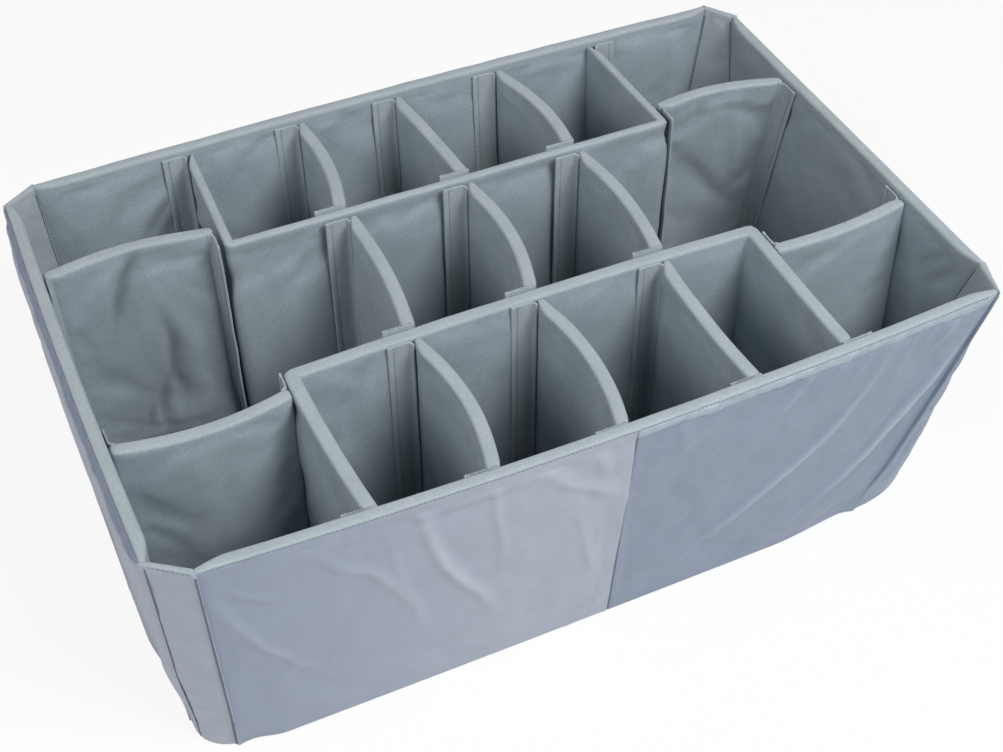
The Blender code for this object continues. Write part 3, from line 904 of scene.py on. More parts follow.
@dataclass
class SoftPad:
    """A foam pad in loop fabric: its skin, soft dents and creases, bent along a course.

    Attributes:
        node: the CAD node that it stands for.
        body: the CAD body that it rides on.
        course: where it goes.
        seed: seeds its dents.
        dent: how deep its broad dents are.
        furrow: how deep its upright furrows are.
        lift: how far the crown rises at its start and its end.
        set_back: how far its start and its end are cut back for a flap that passes in front.
        left_folds: folds of its left side.
        painted_shade: listed patches where its left side is painted darker: painted shade low in its cell.
        creases: creases sewn through it.
    """

    node: str
    body: str
    course: Course
    seed: int
    dent: float = 0.9 * MM
    furrow: float = 0.5 * MM
    rounding: Rounding = Rounding(3.5 * MM, 3.6 * MM, 3 * MM, 3.3 * MM)
    step: float = 4 * MM
    lift: tuple[float, float] = (0.0, 0.0)
    set_back: tuple[float, float] = (0.0, 0.0)
    left_folds: tuple[Fold, ...] = ()
    painted_shade: tuple[Fold, ...] = ()
    creases: tuple[Fold, ...] = ()
    full_crease: float = 8 * MM
    # The painted shade goes at most this share of the way to its colour.
    deepest_painted_shade: float = 0.5
    cushioning: Cushioning = Cushioning()

    def skin(self) -> tuple[Skin, np.ndarray]:
        """Return the flat skin with its relief, and the record of its painted shade: its left side's
        pressed-in folds and listed shade patches.
        """
        length, height = self.course.length(), self.course.height()
        skin = Skin((length, self.course.thickness, height), self.rounding, self.step)
        along, up = skin.flat[:, 0], skin.flat[:, 2]
        relief = np.zeros(len(along))
        edge = fade(along, 0, 14 * MM) * fade(length - along, 0, 14 * MM)
        edge = edge * fade(height - up, 0, 22 * MM) * fade(up, 0, 12 * MM)
        for way in (-1, 1):
            crumple = Crumple(self.seed * 2 + (way + 1) // 2)
            dents = crumple.at(along, up, 38 * MM, 62 * MM) * self.dent
            furrows = -crumple.ridged(along + 0.2 * up, up, 26 * MM, 120 * MM) * self.furrow
            relief += skin.side(way) * edge * (dents + furrows)
        top = np.clip(skin.normals[:, 2], 0, 1)
        relief += top * Crumple(self.seed + 500).at(along, up, 30 * MM, 50 * MM) * 0.35 * MM
        drape = folded(self.left_folds, along, up) * skin.side(-1)
        relief += drape
        relief += folded(self.creases, along, up) * np.abs(skin.normals[:, 1])
        puff = self.cushioning.puff(skin, self.node, self.seed)
        skin.press(relief)
        skin.points += puff
        for rise, distance in zip(self.lift, (along, length - along)):
            skin.points[:, 2] += rise * (1 - fade(distance, 0, 42 * MM)) * fade(up, height - 60 * MM, height)
        for cut, distance, way in zip(self.set_back, (along, length - along), (1, -1)):
            skin.points[:, 0] += way * cut * (1 - fade(distance, 0, 16 * MM))
        # Painted shade: the left side's pressed-in folds and its listed patches are recorded as darker
        # colour.
        drape = drape + folded(self.painted_shade, along, up) * skin.side(-1)
        return skin, np.clip(drape / self.full_crease, -self.deepest_painted_shade, 0)

    def build(self) -> bpy.types.Object:
        skin, creases = self.skin()
        # The crown takes the lighter copy of the loop fabric: painted light on the top.
        crown = skin.middles()[:, 2] > self.course.height() - 1.6 * MM
        pattern = Pattern(f"{self.node}_padding", self.course.place(skin.points), skin.quads,
                          crown.astype(int), [Cloth.LOOP, Cloth.LOOP_RIM], creases)
        return pattern.declare(self.body, self.node)


@dataclass
class SewnFlap:
    """A flap of hook tape in a fabric lap, sewn to a pad's end and pressed onto its neighbour.

    Attributes:
        node: the CAD node that it stands for.
        divider: the body that carries it.
        pad_way: the way from its host into the pad's run, seen from above.
        turn: the way it runs along its host, seen from above.
        style: how the pad's end is drawn in beside it.
        stands: how far its top stands up and away from its host.
        end_width: how far it runs on in front of the pad's end, or 0 where it starts inside the pad.
    """

    node: str
    divider: str
    pad_way: tuple[float, float]
    turn: tuple[float, float]
    style: EndStyle
    stands: tuple[float, float] = (0.0, 0.0)
    end_width: float = 0.0
    thickness: float = 2.3 * MM
    hem: float = 4.6 * MM
    leg: float = 5.0 * MM
    bend: float = 4.5 * MM
    stitching: Stitching = Stitching()

    def ends(self) -> np.ndarray:
        """Return its sewn and free edge, seen from above, at its lower and upper level."""
        corners = corners_of(self.node)
        middle = (corners[:, 2].min() + corners[:, 2].max()) / 2
        found = []
        for level in (corners[corners[:, 2] < middle], corners[corners[:, 2] > middle]):
            level = level[np.argsort(level[:, :2] @ np.array(self.turn))]
            found.append((level[:2].mean(axis=0), level[2:].mean(axis=0)))
        return np.array(found)

    def course(self, ends: np.ndarray) -> Course:
        """Return the course from inside the pad, round its root and along the host."""
        turn, away = np.array(self.turn), np.array(self.pad_way)
        shift = self.style.root_shift
        lines = []
        for sewn, free in ends[:, :, :2]:
            start = sewn + turn * (shift - 0.4 * MM) + away * self.leg
            knee = sewn + turn * (shift - 0.5 * MM)
            flat = sewn + (free - sewn) * (shift + self.bend) / np.linalg.norm(free - sewn)
            share = np.linspace(0, 1, 9)[:, None]
            curve = start * (1 - share) ** 2 + knee * 2 * share * (1 - share) + flat * share ** 2
            if self.end_width:
                curve = flat - (free - sewn) / np.linalg.norm(free - sewn) * (1 - share) * (
                    self.end_width + shift + self.bend)
            rest = flat + (free - flat) * np.linspace(0, 1, 9)[1:, None]
            path = np.concatenate([curve, rest])
            way = unit(np.gradient(path, axis=0))
            normal = np.column_stack([-way[:, 1], way[:, 0]])
            half = self.thickness / 2
            lines.append((path, np.stack([path - normal * half, path + normal * half], axis=1)))
        run = run_of((lines[0][0] + lines[1][0]) / 2)
        levels = ends[:, 0, 2]
        return Course(run, levels, np.array([line[1] for line in lines]), self.thickness)

    def build(self) -> bpy.types.Object:
        ends = self.ends()
        course = self.course(ends)
        length, height = course.length(), course.height()
        edges = (1.4 * MM, self.hem, self.hem + 0.9 * MM, self.hem + 1.8 * MM)
        rounding = Rounding(1.0 * MM, 0.9 * MM, 1.0 * MM, 1.0 * MM)
        skin = Skin((length, self.thickness, height), rounding, 4 * MM, (),
                    tuple(length - edge for edge in edges))
        along, up = skin.flat[:, 0], skin.flat[:, 2]
        inward = length - along
        flat = -0.3 * MM * fade(inward, self.hem, self.hem + 1.2 * MM) * fade(along, 2 * MM, 8 * MM)
        groove = -0.35 * MM * hump(inward - self.hem - 0.9 * MM, 0.6 * MM)
        crumple = Crumple(sum(map(ord, self.node)))
        wave = crumple.at(along, up, 30 * MM, 26 * MM) * 0.5 * MM * fade(along, 4 * MM, 12 * MM)
        skin.press((flat + groove) * np.abs(skin.normals[:, 1]))
        outward = np.array((self.turn[1], -self.turn[0]))
        host_face = Face.RIGHT if outward @ np.array(self.pad_way) > 0 else Face.LEFT
        lean = self.stands[1] * fade(up, height - 22 * MM, height) * fade(along, 2 * MM, 10 * MM)
        skin.points[:, 1] += wave + lean * (1 if host_face is Face.LEFT else -1)
        skin.points[:, 2] += self.stands[0] * fade(up, height - 30 * MM, height)
        middles = skin.middles()
        taped = skin.labels == host_face.value
        inside = np.minimum(length - middles[:, 0], middles[:, 2])
        taped &= (inside > self.hem) & (middles[:, 0] > self.end_width + self.leg + self.bend)
        taped &= height - middles[:, 2] > self.hem + 2 * self.stands[0]
        # The flap's body takes the lighter copy of the loop fabric: painted light.
        pattern = Pattern(f"{self.node}_tape", course.place(skin.points), skin.quads,
                          taped.astype(int), [Cloth.LOOP_RIM, Cloth.HOOK])
        self.stitch(pattern, course, host_face)
        piece = pattern.sew()
        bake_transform(piece)
        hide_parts(self.node)
        LOG.info("%s: sewn flap, peels off with %s", piece.name, self.node)
        return piece

    def stitch(self, pattern: Pattern, course: Course, host_face: Face) -> None:
        """Sew the hem down along the flap's free edge, on the side that shows."""
        length, height = course.length(), course.height()
        inset = self.hem + 0.9 * MM
        across = self.thickness - 0.35 * MM if host_face is Face.LEFT else 0.35 * MM
        flat = np.column_stack([np.full(24, length - inset), np.full(24, across),
                                np.linspace(inset, height - 1.5 * MM, 24)])
        path = course.place(flat)
        flat[:, 1] = self.thickness - flat[:, 1]
        pattern.add(*self.stitching.row(path, unit(path - course.place(flat))), Cloth.THREAD)
        if self.stands[0]:
            self.overcast(pattern, course, 1 if host_face is Face.LEFT else -1)

    def overcast(self, pattern: Pattern, course: Course, away: int) -> None:
        """Sew slanting stitches over the edge of a top that stands up, half of its thickness wide."""
        slant = Stitching(length=2.0 * MM, gap=0.0, radius=0.36 * MM)
        top = course.height() + self.stands[0]
        middle = self.thickness / 2 + away * self.stands[1]
        for place in np.arange(2 * MM, course.length() - 2 * MM, 2.4 * MM):
            flat = np.array(((place, middle + 0.9 * MM, top), (place + 1.8 * MM, middle - 0.9 * MM, top)))
            flat[:, 2] -= 0.1 * MM
            pattern.add(*slant.row(course.place(flat), np.tile(UP, (2, 1))), Cloth.THREAD_DARK)


# The liner


LAP_CUTS_MM = (1.2, 1.9, 2.6, 3.3, 4.2)
WALL_RIM_CUTS_MM = (*LAP_CUTS_MM, 6.5, 9.0, 11.2, 12.4, 13.2, 14.2, 15.6)
GUSSET_RIM_CUTS_MM = (*LAP_CUTS_MM, 11.6, 12.5, 13.4)


@dataclass
class LinerWall:
    """One padded wall: loop fabric inside and over the rim, nylon outside below a sewn lap.

    Attributes:
        node: the CAD node.
        along: 0 if it runs along X, 1 along Y.
        outer: the side that is the liner's outside.
        seed: seeds its relief.
        folds: folds of the nylon, laid out without the base's shift.
        lining_folds: folds of the loop fabric inside.
        seam_share: where an upright seam joins two lengths of nylon, as a share of the run, or None.
        base_shift: how far its middle stands further along at the base, as a share of its run.
        foot_tucks: how far its foot is tucked in at its start and its end.
        foot_reaches: over what distance that fades out, at its start and its end.
        foot_heights: over what height it fades out, at its start and its end.
        strip_from: the share of the run from which the strip below the rim is a binding.
        bag: how far the nylon below that strip bags out.
    """

    node: str
    along: int
    outer: int
    seed: int
    step: float = 4 * MM
    folds: tuple[Fold, ...] = ()
    lining_folds: tuple[Fold, ...] = ()
    seam_share: float | None = None
    base_shift: float = 0.0
    foot_tucks: tuple[float, float] = (0.0, 0.0)
    foot_reaches: tuple[float, float] = (110 * MM, 110 * MM)
    foot_heights: tuple[float, float] = (110 * MM, 110 * MM)
    strip_from: float = 0.0
    bag: float = 0.0
    binding: Cloth = Cloth.BINDING
    nylon: tuple[Cloth, Cloth] = (Cloth.NYLON_LILAC, Cloth.NYLON_LILAC)
    full_crease: float = 4.5 * MM
    # How far a full fold crest goes towards the painted highlight colour.
    strongest_highlight: float = 0.32
    pucker: float = 0.5 * MM
    gather: float = 0.6 * MM
    rounding: Rounding = Rounding(1.2 * MM, 3.6 * MM, 1.2 * MM, 3.6 * MM)
    lap: float = 2.6 * MM
    strip: float = 12.5 * MM
    stitching: Stitching = Stitching()
    cushioning: Cushioning = Cushioning(pressure=0.25, slack=0.008, held=12 * MM, tacks=0.5, cap=1.4 * MM)

    def course(self) -> Course:
        """Return the wall's course, drawn in inside at both ends."""
        panel = CadPanel(self.node, self.along, self.outer)
        pinch = EndStyle(6.5 * MM, 24 * MM, 0.0)
        return straight_course(panel, (pinch, pinch), panel.top, self.base_shift)

    def relief(self, skin: Skin, seam: float | None) -> np.ndarray:
        """Return how far each point of the flat skin is pressed out or in."""
        length, _, height = skin.size
        along, up = skin.flat[:, 0], skin.flat[:, 2]
        drop = height - up
        crumple = Crumple(self.seed)
        ends = fade(along, 0, 18 * MM) * fade(length - along, 0, 18 * MM)
        body = fade(drop, self.strip, self.strip + 30 * MM) * fade(up, 0, 20 * MM)
        outer = crumple.at(along, up, 90 * MM, 70 * MM) * 0.9 * MM * body * ends
        outer += crumple.at(along + 7, up, 34 * MM, 44 * MM) * 0.3 * MM * body * ends
        bound = fade(along, self.strip_from * length - 3 * MM, self.strip_from * length)
        outer += self.puckers(along, drop) * (1 + 0.6 * bound)
        bulge = 0.0 if self.bag else 0.8 * MM
        outer += bulge * hump(drop - (self.lap + self.strip) / 2, 4.2 * MM) * bound
        bagged = fade(drop, self.lap, self.strip + 3 * MM) * (1 - fade(drop, 40 * MM, 170 * MM))
        outer += self.bag * bagged * ends
        outer -= 0.9 * MM * hump(drop - self.lap, 0.7 * MM)
        outer -= 0.6 * MM * hump(drop - self.strip - 0.6 * MM, 1.0 * MM) * bound
        laid_out = shifted(along / length, self.base_shift * drop / height) * length
        outer += folded(self.folds, laid_out, up) * fade(drop, self.strip - 2 * MM, self.strip + 6 * MM)
        if seam is not None:
            outer -= 0.8 * MM * hump(along - seam, 0.8 * MM) * fade(drop, self.lap, self.lap + 2 * MM)
            outer += 0.35 * MM * hump(along - seam + 3 * MM, 2.4 * MM)
        lining = crumple.at(along + 3, up + 5, 60 * MM, 70 * MM) * 1.0 * MM
        lining = lining * fade(drop, 4 * MM, 30 * MM) * ends
        lining += folded(self.lining_folds, along, up)
        top = np.clip(skin.normals[:, 2], 0, 1) * crumple.at(along, up, 26 * MM, 60 * MM) * 0.35 * MM
        return outer * skin.side(self.outer) + lining * skin.side(-self.outer) + top

    def creases(self, skin: Skin) -> np.ndarray:
        """Return the record of its painted light: a painted highlight on the crests of the nylon's folds,
        and a painted shade in the hollows of the lining's folds.
        """
        length, _, height = skin.size
        along, up = skin.flat[:, 0], skin.flat[:, 2]
        laid_out = shifted(along / length, self.base_shift * (1 - up / height)) * length
        crest_highlight = np.clip(folded(self.folds, laid_out, up) / self.full_crease, 0, 1) ** 2 * self.strongest_highlight
        hollow_shade = np.clip(folded(self.lining_folds, along, up) / self.full_crease, -0.5, 0)
        return crest_highlight * skin.side(self.outer) + hollow_shade * skin.side(-self.outer)

    def finishes(self, skin: Skin, seam: float | None) -> np.ndarray:
        """Return the number of each face's finish."""
        middles = skin.middles()
        drop = skin.size[2] - middles[:, 2]
        outward = skin.labels == (Face.LEFT if self.outer < 0 else Face.RIGHT).value
        outward |= np.isin(skin.labels, (Face.START.value, Face.END.value))
        nylon = (outward & (drop > self.lap)) | (skin.labels == Face.BASE.value)
        finishes = np.where(nylon, 1, 0)
        if seam is not None:
            finishes = np.where(nylon & (middles[:, 0] > seam), 2, finishes)
        bound = middles[:, 0] >= self.strip_from * skin.size[0]
        finishes = np.where(outward & nylon & (drop < self.strip) & bound, 4, finishes)
        # The rim takes the lighter copy of the loop fabric: painted light on the top.
        return np.where((drop < 4 * MM) & ~nylon, 3, finishes)

    def build(self) -> bpy.types.Object:
        course = self.course()
        length, height = course.length(), course.height()
        rim = tuple(height - drop * MM for drop in WALL_RIM_CUTS_MM)
        seam = None if self.seam_share is None else self.seam_share * length
        seam_cuts = () if seam is None else tuple(seam + x * MM for x in (-1.4, -0.5, 0.3, 1.2))
        skin = Skin((length, course.thickness, height), self.rounding, self.step, rim, seam_cuts)
        puff = self.cushioning.puff(skin, self.node, self.seed, None if seam is None else (seam, seam))
        skin.press(self.relief(skin, seam))
        skin.points += puff
        distances = (skin.flat[:, 0], length - skin.flat[:, 0])
        for tuck, reach, rise, distance in zip(self.foot_tucks, self.foot_reaches, self.foot_heights,
                                               distances):
            foot = 1 - fade(skin.flat[:, 2], 0, rise)
            skin.points[:, 1] -= self.outer * tuck * foot * (1 - fade(distance, 0, reach))
        pattern = Pattern(f"{self.node}_padding", course.place(skin.points), skin.quads,
                          self.finishes(skin, seam), [Cloth.LOOP, *self.nylon, Cloth.LOOP_RIM, self.binding],
                          self.creases(skin))
        self.stitch(pattern, course)
        if seam is not None:
            up = np.linspace(1.5 * MM, height - self.lap - 1 * MM, 60)
            edge = 0.25 * MM if self.outer < 0 else course.thickness - 0.25 * MM
            path = course.place(np.column_stack([np.full(60, seam), np.full(60, edge), up]))
            outward = np.tile(np.array((0.0, float(self.outer), 0.0)), (60, 1))
            pattern.add(*cord_stitching(0.45 * MM).row(path, outward), Cloth.SEAM)
        return pattern.declare("liner", self.node)

    def puckers(self, along: np.ndarray, drop: np.ndarray) -> np.ndarray:
        """Return the upright puckers below the rim and the slanting gathers in its binding."""
        crumple = Crumple(self.seed + 40)
        short = crumple.ridged(along, drop, 13 * MM, 200 * MM) - 0.3
        reach = (18 + 26 * crumple.at(along, drop * 0, 31 * MM, 1.0) ** 2) * MM
        below = fade(drop, self.lap, self.lap + 2 * MM) * (1 - fade(drop - self.strip, 0 * MM, reach))
        inside = fade(drop, self.lap, self.lap + 2 * MM) * (1 - fade(drop, self.strip - 2 * MM, self.strip))
        gathers = crumple.ridged(along + 0.7 * drop, drop, 7.5 * MM, 60 * MM) - 0.3
        bound = along >= self.strip_from * along.max()
        return short * below * self.pucker + gathers * inside * bound * self.gather

    def stitch(self, pattern: Pattern, course: Course) -> None:
        """Sew the lap down along the rim's outer edge."""
        length, height = course.length(), course.height()
        edge = course.thickness - 0.3 * MM if self.outer > 0 else 0.3 * MM
        run = np.arange(6 * MM, length - 6 * MM, 4 * MM)
        flat = np.column_stack([run, np.full(len(run), edge), np.full(len(run), height - self.lap)])
        outward = np.array((0.0, self.outer * 0.8, 0.6)) * MM
        path = course.place(flat)
        normal = unit(course.place(flat + outward) - path)
        pattern.add(*self.stitching.row(path, normal), Cloth.THREAD)


@dataclass
class CornerGusset:
    """A soft corner panel between two walls, flat at the rim and rounded out at the base.

    Attributes:
        corner: its corner's name.
        long_way: -1 at the left end of the long walls, 1 at the right.
        side_way: -1 at the front, 1 at the back.
        folds: folds of its nylon, along from the long wall.
        side_seam: how far along its second seam lies at the base and at the rim, or None.
        foot_tucks: how far its foot is tucked in, next to the long wall and to the side wall.
        end_lap: how far it reaches into the walls' ends.
        cords: the radius of its two seam cords, or 0 where a seam has none.
    """

    corner: str
    long_way: int
    side_way: int
    seed: int
    nylon: Cloth = Cloth.NYLON_LILAC
    wrinkle: float = 0.5 * MM
    folds: tuple[Fold, ...] = ()
    side_seam: tuple[float, float] | None = None
    foot_tucks: tuple[float, float] = (0.0, 0.0)
    end_lap: float = 2 * MM
    cords: tuple[float, float] = (1.1 * MM, 0.8 * MM)
    lip: float = 1.1 * MM
    step: float = 3 * MM
    thickness: float = 8 * MM
    lap: float = 2.6 * MM
    strip: float = 12.5 * MM
    rounding: Rounding = Rounding(1.2 * MM, 2.8 * MM, 1.6 * MM, 3.2 * MM)
    stitching: Stitching = Stitching()
    cushioning: Cushioning = Cushioning(voxel=4 * MM, pressure=0.5, slack=0.02, tacks=0.5, cap=1.5 * MM)

    STATIONS = 7

    def course(self) -> Course:
        """Return the gusset's course, from quadratics through the frame's corners."""
        corners = corners_of(f"{self.corner}_gusset")
        heights = np.unique(np.round(corners[:, 2], 4))
        outward = np.array((self.long_way, self.side_way))
        chord = np.array((self.long_way, -self.side_way))
        known = []
        side_levels = [h for h in heights if len(self.level_at(corners, h)) >= 2 * self.STATIONS]
        for height in side_levels:
            level = self.level_at(corners, height)
            level = level[np.argsort(level @ chord)].reshape(self.STATIONS, -1, 2)
            stations = []
            for station in level:
                station = station[np.argsort(station @ outward)]
                stations.append((station[0], station[-1]))
            known.append(stations)
        known = np.array(known)
        shares = np.linspace(0, 1, known.shape[1])
        dense = np.linspace(0, 1, 25)
        bent = np.empty((len(side_levels), len(dense), 2, 2))
        for index in np.ndindex(len(side_levels), 2, 2):
            bent[index[0], :, index[1], index[2]] = np.polyval(
                np.polyfit(shares, known[index[0], :, index[1], index[2]], 2), dense)
        levels = np.linspace(heights[0], heights[-1], 12)
        sides = np.empty((len(levels), len(dense), 2, 2))
        for index in np.ndindex(len(dense), 2, 2):
            sides[(slice(None), *index)] = np.polyval(
                np.polyfit(side_levels, bent[(slice(None), *index)], 2), levels)
        run = run_of(sides.mean(axis=(0, 2)))
        return Course(run, levels, sides, self.thickness)

    @staticmethod
    def level_at(corners: np.ndarray, height: float) -> np.ndarray:
        """Return the frame's corners at a height, seen from above."""
        return corners[np.abs(corners[:, 2] - height) < 0.2 * MM][:, :2]

    def build(self) -> bpy.types.Object:
        course = self.course()
        length, height = course.length(), course.height()
        rim = tuple(height - drop * MM for drop in GUSSET_RIM_CUTS_MM)
        skin = Skin((length + 2 * self.end_lap, self.thickness, height), self.rounding, self.step, rim)
        puff = self.cushioning.puff(skin, self.corner, self.seed, self.side_seam)
        along, up = skin.flat[:, 0] - self.end_lap, skin.flat[:, 2]
        drop = height - up
        crumple = Crumple(self.seed)
        ends = fade(along, 0, 7 * MM) * fade(length - along, 0, 7 * MM)
        body = fade(drop, 8 * MM, 30 * MM)
        relief = crumple.ridged(along * 0.4 + up * 0.25, up, 30 * MM, 13 * MM) * self.wrinkle
        relief += crumple.at(along, up, 40 * MM, 34 * MM) * 1.0 * MM
        outer = relief * body * ends - 0.8 * MM * hump(drop - self.lap, 0.7 * MM)
        outer += folded(self.folds, along, up) * fade(along, -1 * MM, 9 * MM)
        if not self.cords[0]:
            outer += self.lip * hump(along, 4 * MM)
        if self.side_seam is not None:
            seam = self.side_seam[0] + (self.side_seam[1] - self.side_seam[0]) * up / height
            outer += 0.7 * MM * (hump(along - seam + 4 * MM, 3 * MM) + hump(along - seam - 4 * MM, 3 * MM))
        lining = crumple.at(along, up, 30 * MM, 60 * MM) * 0.6 * MM * body * ends
        skin.press(outer * skin.side(1) + lining * skin.side(-1))
        skin.points += puff
        skin.points[:, 0] -= self.end_lap
        skin.points[:, 1] -= self.tucked(along, up, length)
        middles = skin.middles()
        outward = skin.labels == Face.RIGHT.value
        finishes = np.where(outward & (height - middles[:, 2] > self.lap), 1, 0)
        finishes = np.where(outward & (finishes == 1) & (height - middles[:, 2] < self.strip), 2, finishes)
        hidden = (Face.BASE.value, Face.START.value, Face.END.value)
        finishes = np.where(np.isin(skin.labels, hidden), 1, finishes)
        # Its lining and rim take the lighter copy of the loop fabric: painted light.
        pattern = Pattern(f"{self.corner}_gusset_padding", course.place(skin.points), skin.quads,
                          finishes, [Cloth.LOOP_RIM, self.nylon, Cloth.BINDING])
        run = np.arange(3 * MM, length - 3 * MM, 3 * MM)
        flat = np.column_stack([run, np.full(len(run), self.thickness - 0.3 * MM),
                                np.full(len(run), height - self.lap)])
        path = course.place(flat)
        normal = unit(course.place(flat + np.array((0.0, 0.8, 0.6)) * MM) - path)
        pattern.add(*self.stitching.row(path, normal), Cloth.THREAD)
        ends = (0.3 * MM, length - 0.3 * MM)
        for place, radius in zip(((ends[0],) * 2, self.side_seam or (ends[1],) * 2), self.cords):
            if radius:
                self.cord(pattern, course, place, radius)
        # Dark cords at the inner seams paint the shade in their folds.
        for place in ends:
            self.lay_painted_seam_shade(pattern, course, place)
        return pattern.declare("liner", f"{self.corner}_gusset")

    def tucked(self, along: np.ndarray, up: np.ndarray, length: float) -> np.ndarray:
        """Return how far places on the gusset are tucked in towards its foot."""
        ends = self.foot_tucks[0] * (1 - fade(along, 0, 0.7 * length)) * (1 - fade(up, 0, 70 * MM))
        return ends + self.foot_tucks[1] * fade(along, 0.1 * length, length) * (1 - fade(up, 0, 110 * MM))

    def lay_painted_seam_shade(self, pattern: Pattern, course: Course, along: float) -> None:
        """Lay a dark cord in the seam that joins its lining to a wall's lining; its dark colour is a painted
        shade of the fold along that real seam.
        """
        up = np.linspace(8 * MM, course.height() - 5 * MM, 60)
        across = -self.tucked(np.full(60, along), up, course.length())
        path = course.place(np.column_stack([np.full(60, along), across, up]))
        outer = course.place(np.column_stack([np.full(60, along), across + 1 * MM, up]))
        pattern.add(*cord_stitching(0.6 * MM).row(path, unit(path - outer)), Cloth.THREAD_DARK)

    def cord(self, pattern: Pattern, course: Course, along: tuple[float, float], radius: float) -> None:
        """Lay a dark cord in a seam, from its place at the base to its place at the rim."""
        up = np.linspace(1.5 * MM, course.height() - self.lap - 1 * MM, 60)
        place = np.linspace(*along, 60)
        across = self.thickness + 0.2 * MM - self.tucked(place, up, course.length())
        path = course.place(np.column_stack([place, across, up]))
        inner = course.place(np.column_stack([place, across - 1 * MM, up]))
        pattern.add(*cord_stitching(radius).row(path, unit(path - inner)), Cloth.SEAM)


@dataclass
class FloorPad:
    """The loose floor pad, loop fabric over foam, crowned a little between its edges.

    Attributes:
        foot_tuck: how far its front left corner follows the tucked foot of the walls.
    """

    node: str = "floor_pad"
    crown: float = 0.6 * MM
    rounding: float = 3 * MM
    foot_tuck: float = 11 * MM

    def outline(self) -> np.ndarray:
        """Return the pad's outline, seen from above, in order round its middle."""
        corners = corners_of(self.node)
        top = corners[corners[:, 2] > corners[:, 2].max() - 0.2 * MM][:, :2]
        middle = top.mean(axis=0)
        turn = np.arctan2(top[:, 1] - middle[1], top[:, 0] - middle[0])
        ring = top[np.argsort(turn)]
        closed = np.concatenate([ring, ring[:1]])
        run = run_of(closed)
        even = np.linspace(0, run[-1], 361)[:-1]
        even = np.column_stack([np.interp(even, run, closed[:, k]) for k in range(2)])
        from_corner = np.linalg.norm(even - even.min(axis=0), axis=1)
        even[:, 0] += self.foot_tuck * (1 - fade(from_corner, 40 * MM, 140 * MM))
        return even

    def build(self) -> bpy.types.Object:
        low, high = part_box(self.node)
        ring = self.outline()
        middle = ring.mean(axis=0)
        crumple = Crumple(77)
        rings = []
        steps = [(0.0, 0.0), (0.3, 0.0), (1.0, 0.45), (1.0, 0.7), (0.6, 0.9), (0.0, 1.0)]
        for inward, rise in steps:
            inset = self.rounding * (1 - inward)
            rings.append(self.ring_at(ring, middle, inset, low.z + (high.z - low.z) * rise))
        for share in np.linspace(0.97, 0.02, 30):
            flat = middle + (ring - middle) * share
            hills = crumple.at(flat[:, 0], flat[:, 1], 70 * MM, 60 * MM)
            z = high.z + self.crown * hills * min(1.0, 6 * (1 - share))
            rings.append(np.column_stack([flat, z]))
        points = np.concatenate(rings)
        count = len(ring)
        here = np.arange(count)
        beside = np.roll(here, -1)
        band = np.column_stack([here, beside, beside + count, here + count])
        quads = np.concatenate([band + level * count for level in range(len(rings) - 1)])
        pattern = Pattern("floor_pad_padding", points, quads, np.zeros(len(quads), int), [Cloth.LOOP_FLOOR])
        return pattern.declare("liner", self.node)

    @staticmethod
    def ring_at(ring: np.ndarray, middle: np.ndarray, inset: float, z: float) -> np.ndarray:
        """Return the outline moved in by a distance, at a height."""
        out = ring - middle
        reach = np.linalg.norm(out, axis=1)[:, None]
        return np.column_stack([middle + out * (1 - inset / reach), np.full(len(ring), z)])


# The dividers


